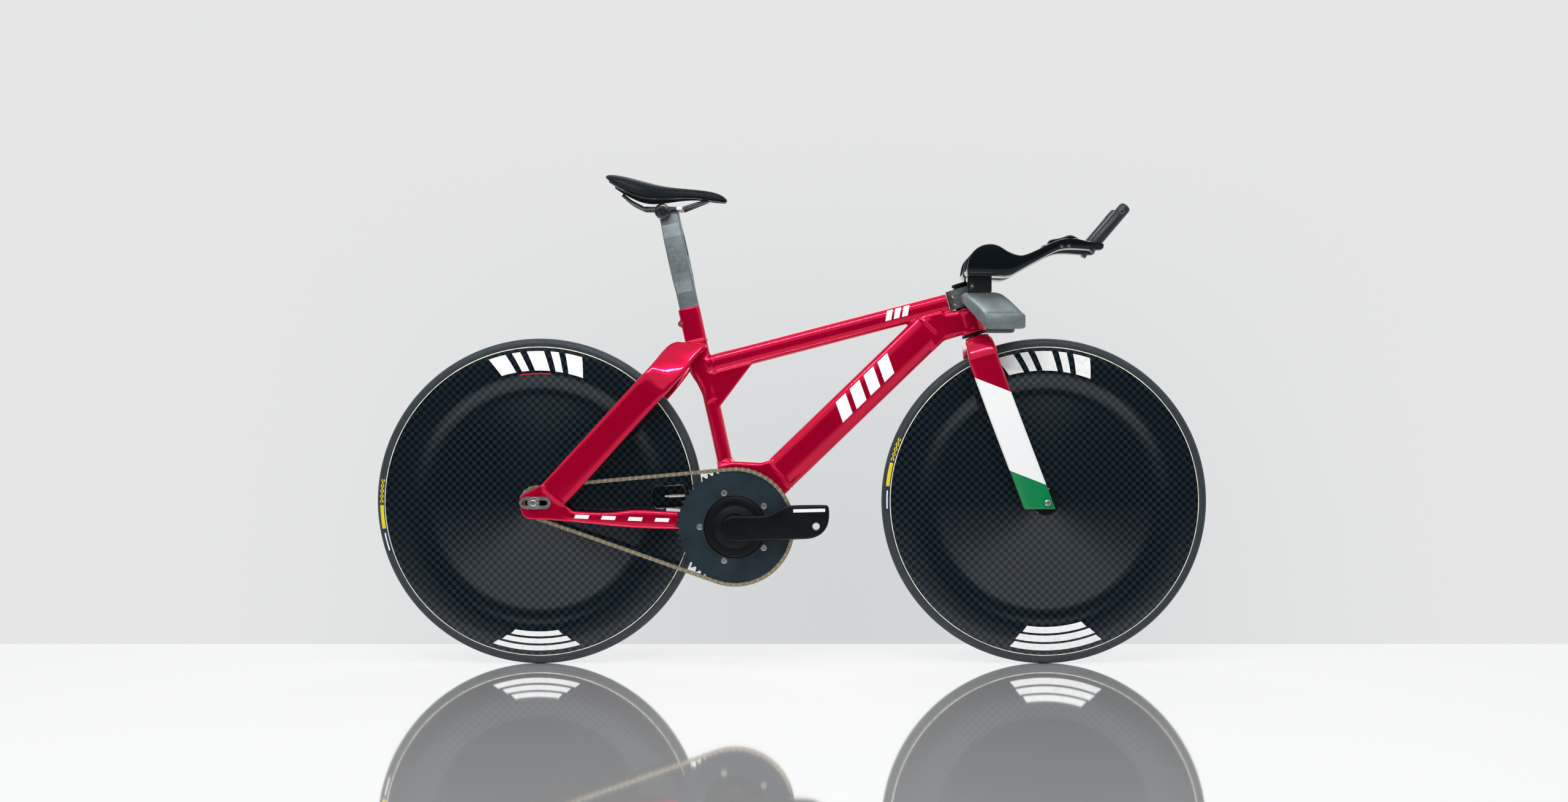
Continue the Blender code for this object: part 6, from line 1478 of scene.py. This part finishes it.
def build_pad(name, side):
    """The foam pad in the rest: crowned, drawn in at its rim, with a sewn line round it."""
    rows = [row for row in curve_through(ARM_ROWS, 2) if 0.3645 < row[0] < 0.4720]
    first, last = rows[0][0], rows[-1][0]
    loops = []
    for ahead, under, rim, floor, half in rows:
        share = (ahead - first) / (last - first)
        ends = max(1 - abs(2 * share - 1) ** 8, 0.0) ** 0.5
        reach = half * 0.60 * (0.80 + 0.20 * ends)
        base = floor + 0.0007
        height = 0.0049 * (0.30 + 0.70 * ends)

        def lift(u):
            return 0.55 * (abs(u) * reach) ** 2 / half * 0.5

        steps = [-1 + 2 * i / 12 for i in range(13)]
        loop = []
        for u in steps:
            crown = (1 - abs(u) ** 5) ** 0.5
            seam = 0.0006 * math.exp(-((abs(u) - 0.80) / 0.05) ** 2)
            loop.append(Vector((ahead, side * ARM_SPREAD + u * reach,
                                base + lift(u) + 0.0012 + (height - 0.0012) * crown - seam)))
        loop += [Vector((ahead, side * ARM_SPREAD + u * reach * 0.985,
                         base + lift(u))) for u in reversed(steps)]
        loops.append(loop)
    pad = new_object("arm_cushion_" + name, loft(loops), 0)
    subdivided(pad)
    place(pad, "steering", "pad_foam", FINISH["foam"], "arm_pad_" + name)


build_base_bar()
build_stem()
build_riser()
for hand, way in (("right", -1), ("left", 1)):
    build_arm(hand, way)
    build_pad(hand, way)


# Seatpost and saddle

CLAMP = seat_point(-0.0146, 0.6617)

SADDLE_ROWS = (
    # ahead, skirt, crown and half width
    (-0.3780, 0.9905, 0.9985, 0.0340), (-0.3765, 0.9885, 1.0000, 0.0420), (-0.3700, 0.9830, 1.0015, 0.0520),
    (-0.3600, 0.9765, 1.0012, 0.0590), (-0.3500, 0.9705, 1.0000, 0.0635), (-0.3350, 0.9630, 0.9972, 0.0668),
    (-0.3200, 0.9565, 0.9935, 0.0668), (-0.3050, 0.9525, 0.9897, 0.0635), (-0.2900, 0.9503, 0.9858, 0.0575),
    (-0.2750, 0.9500, 0.9823, 0.0495), (-0.2600, 0.9505, 0.9796, 0.0415), (-0.2450, 0.9518, 0.9777, 0.0350),
    (-0.2300, 0.9530, 0.9763, 0.0302), (-0.2150, 0.9537, 0.9751, 0.0265), (-0.2000, 0.9538, 0.9738, 0.0238),
    (-0.1850, 0.9525, 0.9724, 0.0219), (-0.1700, 0.9500, 0.9702, 0.0205), (-0.1580, 0.9485, 0.9675, 0.0196),
    (-0.1480, 0.9475, 0.9640, 0.0183), (-0.1400, 0.9465, 0.9595, 0.0158), (-0.1355, 0.9462, 0.9555, 0.0125),
    (-0.1338, 0.9465, 0.9530, 0.0090))


def saddle_arch(row, inset, steps=28, power=0.72):
    ahead, skirt, crown, half = row
    reach = max(half - inset, 0.002)
    height = max(crown - inset - skirt, 0.0008)
    arch = []
    for i in range(steps + 1):
        turn = math.pi * i / steps
        across = math.copysign(abs(math.cos(turn)) ** power, math.cos(turn))
        arch.append(Vector((ahead, reach * across, skirt + height * math.sin(turn) ** 0.58)))
    return arch


def build_saddle():
    """The pad keeps the shell's shape, with a shallow relief along its middle and a sewn edge."""
    rows = curve_through(SADDLE_ROWS, 3)
    first, last = rows[0][0], rows[-1][0]
    loops = []
    for row in rows:
        ahead, skirt, crown, half = row
        share = (ahead - first) / (last - first)
        relief = 0.0022 * math.exp(-((share - 0.42) / 0.26) ** 4)
        lifted = (ahead, skirt + 0.004, crown, half)
        outer = saddle_arch(lifted, 0.0)
        for point in outer:
            dip = math.exp(-(point.y / 0.0085) ** 4)
            point.z -= relief * dip
            edge = abs(abs(point.y) - 0.86 * half)
            point.z -= 0.0006 * math.exp(-(edge / 0.0012) ** 2)
        inner = saddle_arch(lifted, min(0.0072, 0.45 * half))
        loops.append(outer + list(reversed(inner)))
    pad = new_object("saddle_cushion", loft(loops), 0)
    crease(pad, 60)
    place(pad, "saddle", "saddle_cover", [FINISH["saddle"], FINISH["saddle_side"]], "saddle_pad")
    for face in pad.data.polygons:
        centre = face.center
        row = min(SADDLE_ROWS, key=lambda r: abs(r[0] - centre.x))
        level = (centre.z - row[1] - 0.004) / max(row[2] - row[1] - 0.004, 1e-4)
        if level < 0.52 and abs(centre.y) > 0.6 * row[3]:
            face.material_index = 1
    loops = []
    for row in curve_through(SADDLE_ROWS[2:-1], 3):
        ahead, skirt, crown, half = row
        first_inset, second_inset = min(0.0078, 0.45 * half + 0.0006), min(0.0103, 0.45 * half + 0.0031)
        loops.append(saddle_arch((ahead, skirt + 0.0005, crown, half), first_inset)
                     + list(reversed(saddle_arch((ahead, skirt, crown, half), second_inset))))
    shell = new_object("saddle_base", loft(loops), 50)
    place(shell, "saddle", "anodised_black", FINISH["gloss"], "saddle_shell")


def sweep(points, radius, sides=20):
    """A round bar along a list of places."""
    loops = []
    last = len(points) - 1
    side_way = SIDEWAYS
    for i, point in enumerate(points):
        along = (points[min(i + 1, last)] - points[max(i - 1, 0)]).normalized()
        first = side_way - along * side_way.dot(along)
        first.normalize()
        second = along.cross(first)
        turns = [2 * math.pi * j / sides for j in range(sides)]
        loops.append([point + radius * (math.cos(turn) * first + math.sin(turn) * second) for turn in turns])
        side_way = first
    return loft(loops)


def build_rails():
    height = CLAMP.z + RAIL_RISE
    rear = [(-0.3440, 0.036, height + 0.0255), (-0.3260, 0.030, height + 0.0120), (-0.3020, 0.022, height)]
    front = [(-0.2220, 0.022, height), (-0.1970, 0.0155, height + 0.0090), (-0.1750, 0.0060, height + 0.0165)]
    nose = (-0.1690, 0, height + 0.0180)
    half = [Vector(p) for p in curve_through(rear, 6) + curve_through(front, 6)]
    mirrored = [Vector((p.x, -p.y, p.z)) for p in reversed(half)]
    rails = new_object("saddle_rails_bent", sweep(half + [Vector(nose)] + mirrored, 0.0035), 50)
    place(rails, "saddle", "bright_steel", FINISH["gloss"], "saddle_rails")
    sleeves = []
    for side in (-1, 1):
        sleeves.append(lathe([(0.00352, -0.2350), (0.00372, -0.2350), (0.00372, -0.2235), (0.00352, -0.2235)],
                             32,
                             Vector((0, side * RAIL_SPREAD, height)), Vector((1, 0, 0))))
    place(new_object("rail_sleeves", merge(sleeves), 40), "saddle", "bright_steel", FINISH["white"])


def build_clamp():
    """The barrel that grips the rails, with rounded ends and a bolt through it."""
    profile = [(0, -0.0300), (0.0046, -0.0300), (0.0060, -0.0284), (0.0075, -0.0284), (0.0095, -0.0296),
               (0.0128, -0.0292), (0.0150, -0.0278), (0.0158, -0.0255), (0.0158, -0.0135), (0.0154, -0.0130),
               (0.0154, -0.0122), (0.0158, -0.0117), (0.0158, 0.0)]
    profile += [(r, -y) for r, y in reversed(profile[:-1])]
    clamp = new_object("saddle_barrel", lathe(profile, 64, CLAMP, closed=False), 30)
    for side in (-1, 1):
        carve(clamp, rod(CLAMP + Vector((-0.03, side * RAIL_SPREAD, RAIL_RISE)), Vector((1, 0, 0)), 0.0041, 0,
                         0.06, 32))
    place(clamp, "saddle", "anodised_black", FINISH["gloss"], "saddle_clamp")


def build_seatpost():
    """A flat post split into two bowed blades: each face breaks into flats, as a bent plate does."""
    half, eye, head = 0.010, 0.030, 0.0145
    side_line = [(-half, 0.350), (-half, 0.492), (-eye * 0.72, 0.511), (-eye, 0.530), (-eye - 0.0015, 0.568),
                 (-eye, 0.606), (-eye * 0.72, 0.620), (-head, 0.634), (-head, 0.665)]
    outline = side_line + [(-s, r) for s, r in reversed(side_line)]
    window = [(0, 0.504), (-eye + 0.012, 0.530), (-eye + 0.0075, 0.568), (-eye + 0.012, 0.606), (0, 0.620)]
    window += [(-s, r) for s, r in reversed(window[1:-1])]

    def face(points, ahead, inset):
        loop = []
        for s, r in points:
            squeeze = max(0.0, 1 - inset / max(abs(s), 1e-6))
            loop.append(seat_point(-POST_SETBACK + ahead, r, s * squeeze))
        return loop

    depth, edge = 0.020, 0.0042
    rims = []
    for i in range(6):
        bend = math.pi / 2 * i / 5
        rims.append((edge * (1 - math.cos(bend)), edge * (1 - math.sin(bend))))
    loops = [face(outline, -depth + back, inset) for back, inset in rims]
    loops += [face(outline, depth - back, inset) for back, inset in reversed(rims)]
    post = new_object("seatpost_bent", loft(loops), 25)
    carve(post, loft([face(window, -0.04, 0), face(window, 0.04, 0)]))
    carve(post, rod(CLAMP, SIDEWAYS, 0.0161, -0.05, 0.05, 64))
    above = ((-0.06, 0.643), (0.0, 0.659), (0.060, 0.651), (0.06, 0.80), (-0.06, 0.80))
    carve(post, loft([[seat_point(a, r, s) for a, r in above] for s in (-0.05, 0.05)]))
    soften(post, 0.0010, 3, 12)
    apply_modifiers(post)
    crease(post, 25)
    place(post, "seatpost", "bare_aluminium", FINISH["raw"], "seatpost")


build_seatpost()
build_clamp()
build_rails()
build_saddle()


# Floor, backdrop, light and camera

WALL_SHADE = (0.787, 0.790, 0.793)
# Painted shade: the backdrop is drawn darker towards this colour low in the middle behind the bicycle, where
# its shadow would fall.
WALL_PAINTED_SHADE = (0.650, 0.668, 0.680)
FLOOR_SHADE = (0.97, 0.975, 0.98)


def build_stage():
    """A pale polished floor: it keeps shadows and mirrors what stands on it."""
    material = bpy.data.materials.new("floor_white")
    material.use_nodes = True
    shader = material.node_tree.nodes["Principled BSDF"]
    shader.inputs["Base Color"].default_value = (*FLOOR_SHADE, 1)
    shader.inputs["Roughness"].default_value = 0.045
    shader.inputs["Metallic"].default_value = 0.74
    wide, near, far = 4.5, -4.0, 0.25
    form = bmesh.new()
    form.faces.new([form.verts.new((x, y, 0)) for x,
                    y in ((-wide, near), (wide, near), (wide, far), (-wide, far))])
    floor = new_object("floor", form, 0)
    floor.data.materials.append(material)


def build_world():
    """A pale room: its backdrop lies behind the bicycle, darkened low in its middle by painted shade, and the
    side in front of it is dim to gloss.
    """
    world = bpy.data.worlds.new("studio")
    bpy.context.scene.world = world
    world.use_nodes = True
    tree = world.node_tree
    tree.nodes.clear()

    def new(kind, **links):
        made = tree.nodes.new(kind)
        for key, value in links.items():
            socket = made.inputs[int(key[1:])]
            if isinstance(value, bpy.types.NodeSocket):
                tree.links.new(value, socket)
            else:
                socket.default_value = value
        return made

    def combine(operation, first, second=0.0):
        made = new("ShaderNodeMath", i0=first, i1=second)
        made.operation = operation
        return made.outputs[0]

    def step(value, low, high, start, end):
        made = new("ShaderNodeMapRange")
        made.interpolation_type = "SMOOTHSTEP"
        for key, item in (("From Min", low), ("From Max", high), ("To Min", start), ("To Max", end)):
            made.inputs[key].default_value = item
        tree.links.new(value, made.inputs["Value"])
        return made.outputs["Result"]

    way = new("ShaderNodeSeparateXYZ", i0=new("ShaderNodeTexCoord").outputs["Generated"]).outputs
    gloss = combine("MAXIMUM", step(way["Y"], -0.30, 0.10, 0.045, 1.16),
                    step(way["Z"], 0.13, 0.27, 0.0, 0.85))
    # Painted shade on the backdrop: darker towards the middle and towards the floor, behind the bicycle.
    aside = step(combine("ABSOLUTE", way["X"]), 0.0, 0.40, 1.0, 0.0)
    below = step(way["Z"], -0.13, 0.20, 1.0, 0.0)
    shade = new("ShaderNodeMix")
    shade.data_type = "RGBA"
    tree.links.new(combine("MULTIPLY", aside, below), shade.inputs["Factor"])
    shade.inputs[6].default_value = (*WALL_SHADE, 1)
    shade.inputs[7].default_value = (*WALL_PAINTED_SHADE, 1)
    room = new("ShaderNodeBackground", i0=(*WALL_SHADE, 1), i1=0.42).outputs[0]
    mirrored = new("ShaderNodeBackground", i0=(*WALL_SHADE, 1), i1=gloss).outputs[0]
    shown = new("ShaderNodeBackground", i0=shade.outputs[2], i1=1.0).outputs[0]
    path = new("ShaderNodeLightPath").outputs
    light = new("ShaderNodeMixShader", i0=path["Is Glossy Ray"], i1=room, i2=mirrored).outputs[0]
    seen = combine("MAXIMUM", path["Is Camera Ray"], path["Is Transmission Ray"])
    new("ShaderNodeOutputWorld", i0=new("ShaderNodeMixShader", i0=seen, i1=light, i2=shown).outputs[0])


def add_lamp(name, place_at, target, size, power, tall=None):
    light = bpy.data.lights.new(name, "AREA")
    light.energy = power
    light.shape = "RECTANGLE"
    light.size = size
    light.size_y = tall or size
    lamp = bpy.data.objects.new(name, light)
    bpy.context.collection.objects.link(lamp)
    lamp.location = place_at
    lamp.rotation_euler = (Vector(target) - Vector(place_at)).to_track_quat("-Z", "Y").to_euler()
    return lamp


def build_lights():
    middle = (0.0, 0.0, 0.55)
    add_lamp("overhead", (0.0, -0.5, 2.9), middle, 2.8, 37, 0.8).visible_glossy = False
    add_lamp("front_strip", (-0.3, -1.9, 2.5), middle, 2.8, 41, 0.16)
    add_lamp("front_soft", (-1.7, -2.7, 2.6), middle, 1.8, 20, 1.2).visible_glossy = False
    add_lamp("front_right", (2.3, -2.6, 2.2), middle, 1.4, 15, 1.2).visible_glossy = False
    add_lamp("back_rim", (0.4, 2.3, 2.5), middle, 2.4, 22, 0.9)


def build_camera():
    """The photograph's viewpoint: level, 3.2 m from the bicycle's middle plane."""
    lens = bpy.data.cameras.new("camera")
    camera = bpy.data.objects.new("camera", lens)
    bpy.context.collection.objects.link(camera)
    camera.location = (0.097, -3.2, 0.5395)
    camera.rotation_euler = (math.pi / 2, 0, 0)
    lens.sensor_width = 36.0
    lens.lens = 3200.0 / 1.2604 * 36.0 / 2560.0
    lens.shift_x = (1280 - 1370) / 2560
    lens.shift_y = 0.0
    lens.clip_start, lens.clip_end = 0.05, 60.0
    bpy.context.scene.camera = camera


build_stage()
build_world()
build_lights()
build_camera()

bpy.context.scene.view_settings.view_transform = "Standard"
